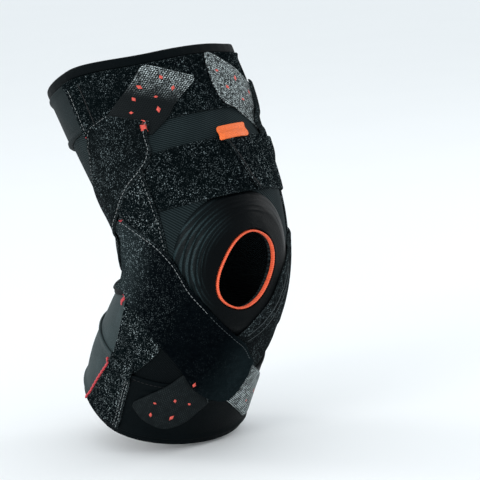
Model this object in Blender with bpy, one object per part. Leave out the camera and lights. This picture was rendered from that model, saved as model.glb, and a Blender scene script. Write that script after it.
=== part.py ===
# Wrap-around knee support, worn form, right leg.
# Metres, +Z up. The origin is the centre of the knee, the kneecap faces -Y and
# the outer side of the leg is -X. Every layer follows one leg surface, which is
# read by an angle round the leg (0 at the front, positive to the outer side)
# and a height along its bent axis.

import math

import bmesh
import bpy
import numpy as np

# Leg that the support is shaped on
THIGH_LENGTH = 0.1512
CALF_LENGTH = 0.1379
KNEE_WIDTH = 0.1292
KNEE_FRONT_DEPTH = 0.0558
KNEE_BACK_DEPTH = 0.0530
THIGH_LEAN = 23.2
CALF_LEAN = 25.1
BEND_REACH = 0.060

# Fabric thicknesses and the clearance between layers
SLEEVE_WALL = 0.0025
STRAP_WALL = 0.0016
ELASTIC_WALL = 0.0014
TAB_WALL = 0.0012
BINDING_WALL = 0.0012
BINDING_FOLD = 0.6
PANEL_WALL = 0.0020
LABEL_WALL = 0.0012
CORD_DIAMETER = 0.0022
LAYER_GAP = 0.0005

# Sleeve hems
HEM_RISE_BACK = 0.0070
HEM_RISE_START_ANGLE = 25.0
HEM_RISE_SPAN = 60.0
HEM_DROP_BACK = 0.0100
HEM_DROP_HIGH_ANGLE = 50.0
TOP_BINDING_HEIGHT = 0.0070
BOTTOM_BINDING_HEIGHT = 0.0050

# Patella opening and its pad
OPENING_CENTRE_X = -0.0064
OPENING_CENTRE_Z = -0.0015
OPENING_WIDTH = 0.0438
OPENING_HEIGHT = 0.0580
OPENING_TILT = 29.0
OPENING_SQUARENESS = 2.3
PIPING_WALL = 0.0017
PIPING_LIP = 0.0007
PIPING_ROUNDING = 0.3
PAD_WIDTH = 0.0980
PAD_HEIGHT = 0.1120
PAD_CENTRE_X = -0.0070
PAD_CENTRE_Z = 0.0010
PAD_EDGE_WALL = 0.0014
PAD_CROWN = 0.0032
PAD_SWELL = 0.45
PAD_RINGS = (0.0, 0.12, 0.4, 0.7, 1.0)

# Bands that run round the leg
THIGH_STRAP_WIDTH = 0.0450
THIGH_STRAP_DROP = 0.0060
KNEE_STRAP_WIDTH = 0.0400
KNEE_STRAP_HEIGHT = 0.0370
CALF_STRAP_WIDTH = 0.0570
CALF_PANEL_WIDTH = 0.0580
CALF_FRONT_DIP = 0.10
CALF_BACK_LENGTH = 0.0700
CALF_BACK_DIP = 0.45
SIDE_PANEL_WIDTH = 0.0440
SIDE_PANEL_ANGLE = 78.0
SIDE_PANEL_LOW_SHARE = -0.60
SIDE_PANEL_HIGH_SHARE = 0.56
SIDE_PANEL_STATIONS = 9
STRAP_OVERLAP = 9.0
CORNER_RADIUS = 0.006
TAB_CORNER_RADIUS = 0.005

# Label
LABEL_WIDTH = 0.0305
LABEL_HEIGHT = 0.0110
LABEL_OVERLAP = 0.0030
LABEL_ANGLE = -5.6
LABEL_LEAN = 3.0

# Leg sections. share: part of the thigh (above 0) or calf (below 0) length.
# The other columns are shares of half the knee width and of the knee depths.
SECTIONS = (
    # share, outer half width, inner half width, front depth, back depth
    (-1.00, 0.97, 0.93, 0.73, 1.50),
    (-0.75, 0.985, 0.93, 0.785, 1.46),
    (-0.50, 0.99, 0.945, 0.855, 1.28),
    (-0.25, 1.00, 0.985, 0.935, 1.08),
    (0.00, 0.99, 1.00, 1.00, 0.95),
    (0.25, 1.035, 1.02, 1.02, 1.02),
    (0.50, 1.095, 1.025, 1.01, 1.23),
    (0.75, 1.155, 1.05, 0.975, 1.41),
    (1.00, 1.22, 1.00, 0.93, 1.53),
)

# Strap outlines. Each row is one station along the strap, from its root behind
# the leg to its free end: angle and height share of the edge that lies lower,
# then angle and height share of the edge that lies higher.
UPPER_OUTER_WING = (
    # low angle, low share, high angle, high share
    (138.0, -0.14, 150.0, 0.10),
    (126.0, -0.02, 136.0, 0.25),
    (115.0, 0.07, 122.0, 0.40),
    (105.0, 0.14, 110.0, 0.51),
    (95.0, 0.232, 101.0, 0.59),
    (84.0, 0.31, 95.0, 0.655),
    (70.0, 0.385, 90.0, 0.70),
    (57.0, 0.44, 86.0, 0.732),
    (49.0, 0.51, 81.0, 0.750),
    (47.0, 0.60, 74.0, 0.758),
    (42.0, 0.665, 66.0, 0.762),
)
UPPER_OUTER_TAB = (
    (44.0, 0.600, 72.0, 0.725),
    (32.0, 0.655, 62.0, 0.780),
    (24.0, 0.720, 51.0, 0.835),
    (15.0, 0.775, 42.0, 0.890),
    (5.5, 0.832, 34.0, 0.955),
)
LOWER_OUTER_WING = (
    (138.0, -0.205, 126.0, 0.02),
    (123.0, -0.190, 114.0, 0.12),
    (109.0, -0.155, 101.0, 0.21),
    (97.0, -0.13, 88.0, 0.265),
    (90.0, -0.185, 77.0, 0.195),
    (80.0, -0.225, 65.0, 0.125),
    (69.0, -0.284, 54.0, 0.045),
    (59.0, -0.343, 45.0, -0.040),
    (48.0, -0.406, 34.0, -0.110),
    (37.0, -0.490, 23.0, -0.175),
    (25.0, -0.595, 11.0, -0.240),
    (10.0, -0.660, -1.0, -0.310),
    (-4.0, -0.700, -15.0, -0.440),
)
LOWER_OUTER_TAB = (
    (7.0, -0.640, -9.0, -0.425),
    (-8.0, -0.740, -20.0, -0.500),
    (-22.0, -0.840, -34.0, -0.590),
    (-36.0, -0.930, -48.0, -0.680),
    (-46.0, -0.950, -57.0, -0.760),
)
UPPER_INNER_WING = (
    (-138.0, -0.14, -150.0, 0.10),
    (-126.0, -0.02, -136.0, 0.25),
    (-115.0, 0.07, -122.0, 0.40),
    (-105.0, 0.14, -112.0, 0.51),
    (-95.0, 0.235, -103.0, 0.59),
    (-84.0, 0.31, -95.0, 0.665),
    (-70.0, 0.385, -86.0, 0.73),
    (-57.0, 0.44, -74.0, 0.775),
    (-45.0, 0.495, -60.0, 0.80),
    (-33.0, 0.560, -45.0, 0.81),
)
UPPER_INNER_TAB = (
    (-38.0, 0.540, -52.0, 0.790),
    (-28.0, 0.585, -41.0, 0.810),
    (-18.0, 0.635, -30.0, 0.865),
    (-7.0, 0.685, -17.0, 0.915),
    (-3.0, 0.775, -4.0, 0.965),
)
LOWER_INNER_WING = (
    (-136.0, -0.20, -136.0, 0.03),
    (-122.0, -0.185, -120.0, 0.07),
    (-108.0, -0.170, -102.0, 0.09),
    (-93.0, -0.180, -84.0, 0.10),
    (-80.0, -0.225, -68.0, 0.09),
    (-68.0, -0.290, -52.0, 0.06),
    (-55.0, -0.360, -37.0, 0.030),
    (-41.0, -0.435, -24.0, -0.030),
    (-27.0, -0.510, -14.0, -0.115),
    (-12.0, -0.585, -2.0, -0.185),
    (4.0, -0.650, 9.0, -0.265),
    (14.0, -0.680, 26.0, -0.400),
)
LOWER_INNER_TAB = (
    (8.0, -0.640, 22.0, -0.365),
    (15.0, -0.730, 32.0, -0.460),
    (24.0, -0.830, 42.0, -0.560),
    (38.0, -0.885, 55.0, -0.660),
    (56.0, -0.850, 69.0, -0.770),
)

# Slant of the closing edge of the strap above the knee: angle at its lower and
# upper end. The outer piece runs on under the inner one by STRAP_OVERLAP.
CLOSING_EDGE = (-11.0, 3.0)
INNER_BAND_END = -96.0
OUTER_BAND_END = 100.0

# Thigh strap and calf strap: angles at which their pieces start and end
THIGH_FRONT_OUTER = 93.0
THIGH_FRONT_INNER = -93.0
CALF_FRONT_OUTER = 74.0
CALF_FRONT_INNER = -74.0
CALF_PANEL_LOW_REACH = 38.0
CALF_PANEL_HIGH_REACH = 21.5

# Mesh density
ROUND_STEPS = 40
SLEEVE_ROWS = 21
BINDING_STEPS = 36
RING_STEPS = 36
CELL = 0.0118
CORD_STEPS = 12
CORD_END_SHARE = 0.03

# Height map of the stacked layers: cell sizes, and how far a layer keeps the
# height of an edge that it climbs before it comes down again
MAP_ANGLE_STEP = 2.0
MAP_HEIGHT_STEP = 0.0020
MAP_MARGIN = 0.03
AXIS_MARGIN = 0.04
AXIS_STEPS = 800
SHOULDER = 1.02 * CELL
SMALL_SHOULDER = 0.004
SOFTEN = 0.004

COLOURS = {
    # material: red, green, blue, roughness
    "knit": (0.020, 0.021, 0.024, 0.85),
    "binding": (0.012, 0.013, 0.015, 0.60),
    "pad": (0.010, 0.011, 0.013, 0.62),
    "piping": (0.900, 0.140, 0.030, 0.45),
    "velour": (0.028, 0.030, 0.034, 0.95),
    "elastic": (0.030, 0.032, 0.036, 0.80),
    "wing": (0.024, 0.026, 0.030, 0.90),
    "mesh": (0.110, 0.115, 0.120, 0.70),
    "cord": (0.550, 0.030, 0.040, 0.50),
    "label": (0.850, 0.150, 0.030, 0.50),
}


def smooth_curve(table, column, at):
    """Value of a table's column at given shares, on a smooth curve through its rows."""
    xs = np.array([row[0] for row in table])
    ys = np.array([row[column] for row in table])
    slope = np.gradient(ys, xs)
    at = np.asarray(at, dtype=float)
    i = np.clip(np.searchsorted(xs, at) - 1, 0, len(xs) - 2)
    width = xs[i + 1] - xs[i]
    t = (at - xs[i]) / width
    inside = np.clip(t, 0.0, 1.0)
    a = (1 + 2 * inside) * (1 - inside) ** 2
    b = inside * (1 - inside) ** 2
    c = inside ** 2 * (3 - 2 * inside)
    d = inside ** 2 * (inside - 1)
    value = a * ys[i] + b * width * slope[i] + c * ys[i + 1] + d * width * slope[i + 1]
    beyond = (t - inside) * width
    return value + beyond * np.where(t > 1, slope[i + 1], slope[i])


def share_to_height(share):
    share = np.asarray(share, dtype=float)
    return share * np.where(share > 0, THIGH_LENGTH, CALF_LENGTH)


def height_to_share(height):
    height = np.asarray(height, dtype=float)
    return height / np.where(height > 0, THIGH_LENGTH, CALF_LENGTH)


def lean_at(height):
    """Backward lean of the leg's axis, in radians, which turns smoothly in the bend."""
    t = np.clip((np.asarray(height) + BEND_REACH) / (2 * BEND_REACH), 0.0, 1.0)
    t = t * t * (3 - 2 * t)
    return np.radians(-CALF_LEAN + (THIGH_LEAN + CALF_LEAN) * t)


def leg_axis():
    """Heights along the axis with the y and z of each, the knee centre at 0."""
    low, high = -CALF_LENGTH - AXIS_MARGIN, THIGH_LENGTH + AXIS_MARGIN
    heights = np.linspace(low, high, AXIS_STEPS)
    lean = lean_at(heights)
    step = np.diff(heights)
    y = np.concatenate([[0], np.cumsum((np.sin(lean[1:]) + np.sin(lean[:-1])) / 2 * step)])
    z = np.concatenate([[0], np.cumsum((np.cos(lean[1:]) + np.cos(lean[:-1])) / 2 * step)])
    return heights, y - np.interp(0, heights, y), z - np.interp(0, heights, z)


AXIS_HEIGHTS, AXIS_Y, AXIS_Z = leg_axis()


def leg_point(angle, height, offset):
    """Points at an angle and height, a given offset outside the skin."""
    angle = np.radians(angle)
    share = height_to_share(height)
    outer = smooth_curve(SECTIONS, 1, share) * KNEE_WIDTH / 2 + offset
    inner = smooth_curve(SECTIONS, 2, share) * KNEE_WIDTH / 2 + offset
    front = smooth_curve(SECTIONS, 3, share) * KNEE_FRONT_DEPTH + offset
    back = smooth_curve(SECTIONS, 4, share) * KNEE_BACK_DEPTH + offset
    depth = np.where(np.cos(angle) > 0, front, back) * np.cos(angle)
    lean = lean_at(height)
    x = -np.where(np.sin(angle) > 0, outer, inner) * np.sin(angle)
    y = np.interp(height, AXIS_HEIGHTS, AXIS_Y) - np.cos(lean) * depth
    z = np.interp(height, AXIS_HEIGHTS, AXIS_Z) + np.sin(lean) * depth
    return np.stack([x, y, z], axis=-1)


def side_width(x, height):
    """Half width of the leg on the side where x lies."""
    share = height_to_share(height)
    outer, inner = smooth_curve(SECTIONS, 1, share), smooth_curve(SECTIONS, 2, share)
    return np.where(np.asarray(x) < 0, outer, inner) * KNEE_WIDTH / 2


def front_angle_height(x, z, offset):
    """Angle and height of the front surface's point at a given x and z."""
    x = np.asarray(x, dtype=float)
    z = np.asarray(z, dtype=float)
    height = z * 0.6
    angle = np.zeros_like(x)
    for _ in range(30):
        width = side_width(x, height) + offset
        angle = np.degrees(np.arcsin(np.clip(-x / width, -0.999, 0.999)))
        height = height + 0.5 * (z - leg_point(angle, height, offset)[..., 2])
    return angle, height


def top_hem(angle):
    """Height of the sleeve's upper edge, which rises towards the back."""
    past = np.abs(np.asarray(angle, dtype=float)) - HEM_RISE_START_ANGLE
    rise = np.clip(past / HEM_RISE_SPAN, 0.0, 1.0)
    return THIGH_LENGTH + HEM_RISE_BACK * rise * rise * (3 - 2 * rise)


def bottom_hem(angle):
    """Height of the sleeve's lower edge, which drops towards the inner back."""
    turn = np.radians(np.asarray(angle, dtype=float) - HEM_DROP_HIGH_ANGLE)
    return -CALF_LENGTH - HEM_DROP_BACK * (1 - np.cos(turn)) / 2


def ellipse_reach(x, z, centre_x, centre_z, width, height, tilt):
    """How far out a front point lies: 1 on the tilted ellipse, less inside it."""
    turn = math.radians(tilt)
    across = (x - centre_x) * math.cos(turn) - (z - centre_z) * math.sin(turn)
    along = (x - centre_x) * math.sin(turn) + (z - centre_z) * math.cos(turn)
    power = OPENING_SQUARENESS
    reach = np.abs(across / (width / 2)) ** power + np.abs(along / (height / 2)) ** power
    return reach ** (1 / power)


def ellipse_outline(centre_x, centre_z, width, height, tilt):
    """Points of a tilted ellipse in the front plane, its top leaning to +X."""
    turn = math.radians(tilt)
    a = np.arange(RING_STEPS) * 2 * math.pi / RING_STEPS
    square = (np.abs(np.cos(a)) ** OPENING_SQUARENESS + np.abs(np.sin(a)) ** OPENING_SQUARENESS)
    out = square ** (-1 / OPENING_SQUARENESS)
    across, along = width / 2 * np.cos(a) * out, height / 2 * np.sin(a) * out
    x = centre_x + across * math.cos(turn) + along * math.sin(turn)
    z = centre_z - across * math.sin(turn) + along * math.cos(turn)
    return x, z


class LayerMap:
    """Outer height of the layers laid so far, over the angle and height of the leg."""

    def __init__(self):
        self.angles = np.arange(-180.0, 180.0, MAP_ANGLE_STEP)
        low, high = -CALF_LENGTH - MAP_MARGIN, THIGH_LENGTH + MAP_MARGIN
        self.heights = np.arange(low, high, MAP_HEIGHT_STEP)
        self.grid_angle, self.grid_height = np.meshgrid(self.angles, self.heights)
        self.top = np.full(self.grid_angle.shape, SLEEVE_WALL)

    def cell_width(self):
        return math.radians(MAP_ANGLE_STEP) * KNEE_WIDTH / 2

    def seat(self, shoulder):
        """Surface that the next layer rests on, eased down from every raised edge."""
        reach = shoulder + SOFTEN
        spread = self.top.copy()
        rows = int(round(reach / MAP_HEIGHT_STEP))
        for row in range(-rows, rows + 1):
            room = math.sqrt(max(reach ** 2 - (row * MAP_HEIGHT_STEP) ** 2, 0.0))
            columns = int(round(room / self.cell_width()))
            moved = shift_rows(self.top, row)
            for column in range(-columns, columns + 1):
                spread = np.maximum(spread, np.roll(moved, column, axis=1))
        rows = int(round(SOFTEN / MAP_HEIGHT_STEP))
        columns = int(round(SOFTEN / self.cell_width()))
        for _ in range(2):
            spread = sum(shift_rows(spread, k) for k in range(-rows, rows + 1)) / (2 * rows + 1)
            spread = sum(np.roll(spread, k, axis=1) for k in range(-columns, columns + 1))
            spread = spread / (2 * columns + 1)
        return spread

    def sample(self, field, angle, height):
        """Value of a map at any angles and heights."""
        u = (np.asarray(angle) + 180.0) / MAP_ANGLE_STEP
        v = (np.asarray(height) - self.heights[0]) / MAP_HEIGHT_STEP
        v = np.clip(v, 0.0, len(self.heights) - 1.001)
        i, j = np.floor(u).astype(int), np.floor(v).astype(int)
        u, v = u - i, v - j
        count = len(self.angles)
        low = field[j, i % count] * (1 - u) + field[j, (i + 1) % count] * u
        high = field[j + 1, i % count] * (1 - u) + field[j + 1, (i + 1) % count] * u
        return low * (1 - v) + high * v

    def raise_patch(self, angle, height, seat, wall):
        """Note a layer of a given wall over a grid of angles and heights."""
        mask = np.zeros(self.top.shape, dtype=bool)
        for i in range(angle.shape[0] - 1):
            for j in range(angle.shape[1] - 1):
                corners = ((i, j), (i + 1, j), (i + 1, j + 1), (i, j + 1))
                mask |= self.inside([angle[c] for c in corners], [height[c] for c in corners])
        self.top = np.where(mask, np.maximum(self.top, seat + LAYER_GAP + wall), self.top)

    def inside(self, angles, heights):
        """Map cells inside a four-cornered outline."""
        middle = angles[0]
        around = (self.grid_angle - middle + 180.0) % 360.0 - 180.0 + middle
        hit = np.zeros(self.top.shape, dtype=bool)
        rows = (self.heights >= min(heights)) & (self.heights <= max(heights))
        if not rows.any():
            return hit
        a, h = around[rows], self.grid_height[rows]
        odd = np.zeros(a.shape, dtype=bool)
        for k in range(4):
            a0, h0, a1, h1 = angles[k - 1], heights[k - 1], angles[k], heights[k]
            if h0 == h1:
                continue
            crosses = (h0 > h) != (h1 > h)
            odd ^= crosses & (a < a0 + (h - h0) * (a1 - a0) / (h1 - h0))
        hit[rows] = odd
        return hit


def shift_rows(field, by):
    """The map moved along the leg, its end rows repeated."""
    rows = np.clip(np.arange(field.shape[0]) - by, 0, field.shape[0] - 1)
    return field[rows]


LAYERS = LayerMap()


def clear_scene():
    for thing in list(bpy.data.objects):
        bpy.data.objects.remove(thing, do_unlink=True)


def make_material(name, finish):
    red, green, blue, roughness = COLOURS[finish]
    material = bpy.data.materials.new(name)
    material.use_nodes = True
    shader = material.node_tree.nodes["Principled BSDF"]
    shader.inputs["Base Color"].default_value = (red, green, blue, 1.0)
    shader.inputs["Roughness"].default_value = roughness
    shader.inputs["Metallic"].default_value = 0.0
    return material


def add_object(name, mesh, finish):
    body = bpy.data.objects.new(name, mesh)
    bpy.context.scene.collection.objects.link(body)
    mesh.materials.append(make_material(name, finish))
    mesh.shade_smooth()
    mesh.set_sharp_from_angle(angle=math.radians(40))
    return body


def grid_mesh(name, points, wrap=False):
    """Sheet over a grid of points, its faces turned away from the leg."""
    bm = bmesh.new()
    rows, columns = points.shape[:2]
    verts = [[bm.verts.new(points[i, j]) for j in range(columns)] for i in range(rows)]
    last = columns if wrap else columns - 1
    for i in range(rows - 1):
        for j in range(last):
            k = (j + 1) % columns
            bm.faces.new((verts[i][j], verts[i][k], verts[i + 1][k], verts[i + 1][j]))
    bm.normal_update()
    middle = list(bm.faces)[len(bm.faces) // 2]
    centre = middle.calc_center_median()
    height = np.interp(centre.z, AXIS_Z, AXIS_HEIGHTS)
    outward = (centre.x, centre.y - float(np.interp(height, AXIS_HEIGHTS, AXIS_Y)), 0.0)
    if middle.normal.x * outward[0] + middle.normal.y * outward[1] < 0:
        bmesh.ops.reverse_faces(bm, faces=bm.faces)
    mesh = bpy.data.meshes.new(name)
    bm.to_mesh(mesh)
    bm.free()
    return mesh


def thicken(body, wall):
    solidify = body.modifiers.new("wall", "SOLIDIFY")
    solidify.thickness = wall
    solidify.offset = 1.0
    solidify.use_rim = True
    return solidify


def follow_rows(rows, count):
    """Outline rows evened out to a given number along a smooth curve."""
    rows = np.array(rows, dtype=float)
    rows[:, 1] = share_to_height(rows[:, 1])
    rows[:, 3] = share_to_height(rows[:, 3])
    middle_angle = (rows[:, 0] + rows[:, 2]) / 2
    middle_height = (rows[:, 1] + rows[:, 3]) / 2
    steps = np.hypot(np.diff(middle_height), np.radians(np.diff(middle_angle)) * KNEE_WIDTH / 2)
    along = np.concatenate([[0], np.cumsum(steps)])
    table = [(along[k], *rows[k]) for k in range(len(rows))]
    at = np.linspace(0, along[-1], count)
    return [smooth_curve(table, column, at) for column in (1, 2, 3, 4)], along[-1]


def strap_grid(rows, round_start=0.0, round_end=0.0):
    """Grid of angles and heights over a strap outline, its end corners rounded off."""
    _, length = follow_rows(rows, 2)
    count = max(4, int(math.ceil(length / CELL)) + 1)
    (low_a, low_h, high_a, high_h), _ = follow_rows(rows, count)
    wide = np.hypot(high_h - low_h, np.radians(high_a - low_a) * KNEE_WIDTH / 2)
    across = max(3, int(math.ceil(wide.max() / CELL)) + 1)
    along = np.linspace(0, length, count)
    pull = np.zeros(count)
    for distance, radius in ((along, round_start), (length - along, round_end)):
        near = np.clip(1 - distance / max(radius, 1e-9), 0.0, 1.0)
        pull = np.maximum(pull, radius * (1 - np.sqrt(1 - near ** 2)))
    share = np.clip(pull / wide, 0.0, 0.45)
    t = share[:, None] + np.linspace(0, 1, across)[None, :] * (1 - 2 * share[:, None])
    angle = low_a[:, None] + t * (high_a - low_a)[:, None]
    height = low_h[:, None] + t * (high_h - low_h)[:, None]
    return angle, height


def band_grid(start_low, start_high, end_low, end_high, low, high):
    """Grid over a band between two heights, with its ends at given angles.

    low and high give the edge heights for an angle."""
    reach = max(abs(end_low - start_low), abs(end_high - start_high))
    count = int(math.ceil(math.radians(reach) * KNEE_WIDTH / 2 / CELL)) + 1
    t = np.linspace(0, 1, count)
    low_angle = start_low + t * (end_low - start_low)
    high_angle = start_high + t * (end_high - start_high)
    low_height, high_height = low(low_angle), high(high_angle)
    across = max(3, int(math.ceil(np.max(high_height - low_height) / CELL)) + 1)
    u = np.linspace(0, 1, across)[None, :]
    angle = low_angle[:, None] * (1 - u) + high_angle[:, None] * u
    height = low_height[:, None] * (1 - u) + high_height[:, None] * u
    return angle, height


def lay(name, grid, wall, finish, shoulder=SHOULDER):
    """Lay a piece of cloth over the layers below it and note its height."""
    angle, height = grid
    seat = LAYERS.seat(shoulder)
    offset = LAYERS.sample(seat, angle, height) + LAYER_GAP
    mesh = grid_mesh(name, leg_point(angle, height, offset))
    body = add_object(name, mesh, finish)
    thicken(body, wall)
    LAYERS.raise_patch(angle, height, seat, wall)
    return body


def hole_outline(extra):
    """Outline of the patella opening in the front plane, let out by a margin."""
    return ellipse_outline(OPENING_CENTRE_X, OPENING_CENTRE_Z,
                           OPENING_WIDTH + 2 * extra, OPENING_HEIGHT + 2 * extra, OPENING_TILT)


def make_sleeve():
    angle = np.arange(ROUND_STEPS) * 360.0 / ROUND_STEPS - 180.0
    t = np.linspace(0, 1, SLEEVE_ROWS)[:, None]
    height = bottom_hem(angle)[None, :] * (1 - t) + top_hem(angle)[None, :] * t
    points = leg_point(np.broadcast_to(angle, height.shape), height, 0.0)
    sleeve = add_object("sleeve", grid_mesh("sleeve", points, wrap=True), "knit")
    thicken(sleeve, SLEEVE_WALL)
    cut = sleeve.modifiers.new("patella_opening", "BOOLEAN")
    cut.operation = "DIFFERENCE"
    cut.solver = "EXACT"
    cut.object = opening_cutter()
    return sleeve


def opening_cutter():
    """Oval prism through the front wall, as large as the opening with its piping."""
    x, z = hole_outline(PIPING_WALL + LAYER_GAP)
    front, behind = -2 * KNEE_FRONT_DEPTH, -KNEE_FRONT_DEPTH / 3
    bm = bmesh.new()
    ring = [bm.verts.new((x[k], front, z[k])) for k in range(RING_STEPS)]
    face = bm.faces.new(ring)
    pushed = bmesh.ops.extrude_face_region(bm, geom=[face])
    moved = [item for item in pushed["geom"] if isinstance(item, bmesh.types.BMVert)]
    bmesh.ops.translate(bm, verts=moved, vec=(0, behind - front, 0))
    bmesh.ops.recalc_face_normals(bm, faces=bm.faces)
    mesh = bpy.data.meshes.new("opening_cutter")
    bm.to_mesh(mesh)
    bm.free()
    cutter = bpy.data.objects.new("opening_cutter", mesh)
    bpy.context.scene.collection.objects.link(cutter)
    cutter.hide_render = True
    cutter.display_type = "WIRE"
    return cutter


def ring_body(name, loops, finish):
    """Closed ring bridged through loops of points, the last one to the first."""
    bm = bmesh.new()
    rings = [[bm.verts.new(point) for point in loop] for loop in loops]
    count = len(rings[0])
    for a, b in zip(rings, rings[1:] + rings[:1]):
        for k in range(count):
            m = (k + 1) % count
            bm.faces.new((a[k], a[m], b[m], b[k]))
    bmesh.ops.recalc_face_normals(bm, faces=bm.faces)
    mesh = bpy.data.meshes.new(name)
    bm.to_mesh(mesh)
    bm.free()
    return add_object(name, mesh, finish)


def make_binding(name, hem, rise, height):
    """Band folded over a hem: outside, over the edge and inside again."""
    angle = np.arange(BINDING_STEPS) * 360.0 / BINDING_STEPS - 180.0
    edge = hem(angle)
    outer, inner = SLEEVE_WALL + LAYER_GAP, -LAYER_GAP
    over = rise * LAYER_GAP
    cap = rise * (LAYER_GAP + BINDING_WALL)
    profile = (
        # offset from the skin, height from the hem
        (outer, -rise * height),
        (outer + BINDING_WALL, -rise * height),
        (outer + BINDING_WALL * BINDING_FOLD, cap),
        (inner - BINDING_WALL * BINDING_FOLD, cap),
        (inner - BINDING_WALL, -rise * height),
        (inner, -rise * height),
        (inner, over),
        (outer, over),
    )
    loops = [leg_point(angle, edge + lift, offset) for offset, lift in profile]
    return ring_body(name, loops, "binding")


def pad_wall(reach):
    """Pad thickness from its outer edge (1) in to the opening (0)."""
    t = np.clip(1 - reach, 0.0, 1.0)
    swell = np.clip(t / PAD_SWELL, 0.0, 1.0)
    return PAD_EDGE_WALL + PAD_CROWN * swell * swell * (3 - 2 * swell)


def make_pad():
    """Ring pad from the opening's rim to its own outline, thickest near the rim."""
    inner_x, inner_z = hole_outline(PIPING_WALL + LAYER_GAP)
    outer_x, outer_z = match_outline(inner_x, inner_z)
    seat = SLEEVE_WALL + LAYER_GAP
    under, over = [], []
    for t in PAD_RINGS:
        x, z = inner_x + t * (outer_x - inner_x), inner_z + t * (outer_z - inner_z)
        wall = pad_wall(t)
        for loops, offset in ((under, seat), (over, seat + wall)):
            angle, height = front_angle_height(x, z, offset)
            loops.append(leg_point(angle, height, offset))
    body = ring_body("patella_pad", under + over[::-1], "pad")
    x = leg_point(LAYERS.grid_angle, LAYERS.grid_height, seat)[..., 0]
    z = leg_point(LAYERS.grid_angle, LAYERS.grid_height, seat)[..., 2]
    pad = ellipse_reach(x, z, PAD_CENTRE_X, PAD_CENTRE_Z, PAD_WIDTH, PAD_HEIGHT, 0.0)
    hole = ellipse_reach(x, z, OPENING_CENTRE_X, OPENING_CENTRE_Z,
                         OPENING_WIDTH, OPENING_HEIGHT, OPENING_TILT)
    t = np.clip((hole - 1) / np.maximum(hole - pad, 1e-6), 0.0, 1.0)
    covered = (pad < 1) & (np.abs(LAYERS.grid_angle) < 90)
    LAYERS.top = np.where(covered, np.maximum(LAYERS.top, seat + pad_wall(t)), LAYERS.top)
    return body


def match_outline(x, z):
    """Points of the pad's outline straight out from the opening's centre."""
    away = np.arctan2(z - OPENING_CENTRE_Z, x - OPENING_CENTRE_X)
    far = np.full(len(x), PAD_HEIGHT)
    near = np.zeros(len(x))
    for _ in range(40):
        middle = (near + far) / 2
        reach = ellipse_reach(OPENING_CENTRE_X + middle * np.cos(away),
                              OPENING_CENTRE_Z + middle * np.sin(away),
                              PAD_CENTRE_X, PAD_CENTRE_Z, PAD_WIDTH, PAD_HEIGHT, 0.0)
        near = np.where(reach < 1, middle, near)
        far = np.where(reach < 1, far, middle)
    return OPENING_CENTRE_X + near * np.cos(away), OPENING_CENTRE_Z + near * np.sin(away)


def make_piping():
    """Lining band inside the opening, from the skin to just proud of the pad."""
    top = SLEEVE_WALL + LAYER_GAP + pad_wall(0.0) + PIPING_LIP
    round_off = PIPING_WALL * PIPING_ROUNDING
    profile = (
        # margin out from the opening's edge, offset from the skin
        (0.0, -round_off),
        (0.0, top - round_off),
        (round_off, top),
        (PIPING_WALL - round_off, top),
        (PIPING_WALL, top - round_off),
        (PIPING_WALL, -round_off),
    )
    loops = []
    for margin, offset in profile:
        x, z = hole_outline(margin)
        angle, height = front_angle_height(x, z, offset)
        loops.append(leg_point(angle, height, offset))
    return ring_body("patella_piping", loops, "piping")


def level(height):
    """Edge of a band that stays at one height."""
    return lambda angle: np.full(np.shape(angle), height)


def make_thigh_strap():
    """Velour band in front and an elastic band behind, which it overlaps."""
    outer, inner = THIGH_FRONT_OUTER, THIGH_FRONT_INNER
    high = THIGH_LENGTH - TOP_BINDING_HEIGHT - LAYER_GAP

    def back_high(angle):
        return top_hem(angle) - TOP_BINDING_HEIGHT - LAYER_GAP

    def back_low(angle):
        return back_high(angle) - THIGH_STRAP_WIDTH + THIGH_STRAP_DROP

    back = band_grid(outer - STRAP_OVERLAP, outer - STRAP_OVERLAP,
                     360.0 + inner + STRAP_OVERLAP, 360.0 + inner + STRAP_OVERLAP,
                     back_low, back_high)
    lay("thigh_strap_back", back, ELASTIC_WALL, "elastic")
    front = band_grid(outer, outer, inner, inner, level(high - THIGH_STRAP_WIDTH), back_high)
    return lambda: lay("thigh_strap_front", front, STRAP_WALL, "velour")


def knee_strap_edges():
    low = KNEE_STRAP_HEIGHT
    return level(low), level(low + KNEE_STRAP_WIDTH)


def make_knee_strap_outer():
    low, high = knee_strap_edges()
    grid = band_grid(OUTER_BAND_END, OUTER_BAND_END,
                     CLOSING_EDGE[0] - STRAP_OVERLAP, CLOSING_EDGE[1] - STRAP_OVERLAP, low, high)
    lay("knee_strap_outer", grid, STRAP_WALL, "velour")


def make_knee_strap_inner():
    low, high = knee_strap_edges()
    grid = band_grid(INNER_BAND_END, INNER_BAND_END, CLOSING_EDGE[0], CLOSING_EDGE[1], low, high)
    lay("knee_strap_inner", grid, STRAP_WALL, "velour")


def make_side_panel(name, side):
    """Splint pocket down one side of the knee, from the thigh to the calf strap."""
    half = math.degrees(SIDE_PANEL_WIDTH / KNEE_WIDTH)
    middle = side * SIDE_PANEL_ANGLE
    shares = np.linspace(SIDE_PANEL_LOW_SHARE, SIDE_PANEL_HIGH_SHARE, SIDE_PANEL_STATIONS)
    first, second = middle - side * half, middle + side * half
    rows = [(first, share, second, share) for share in shares]
    lay(name, strap_grid(rows, CORNER_RADIUS, CORNER_RADIUS), PANEL_WALL, "velour")


def calf_band_low(angle):
    return bottom_hem(angle) + BOTTOM_BINDING_HEIGHT + LAYER_GAP


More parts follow.
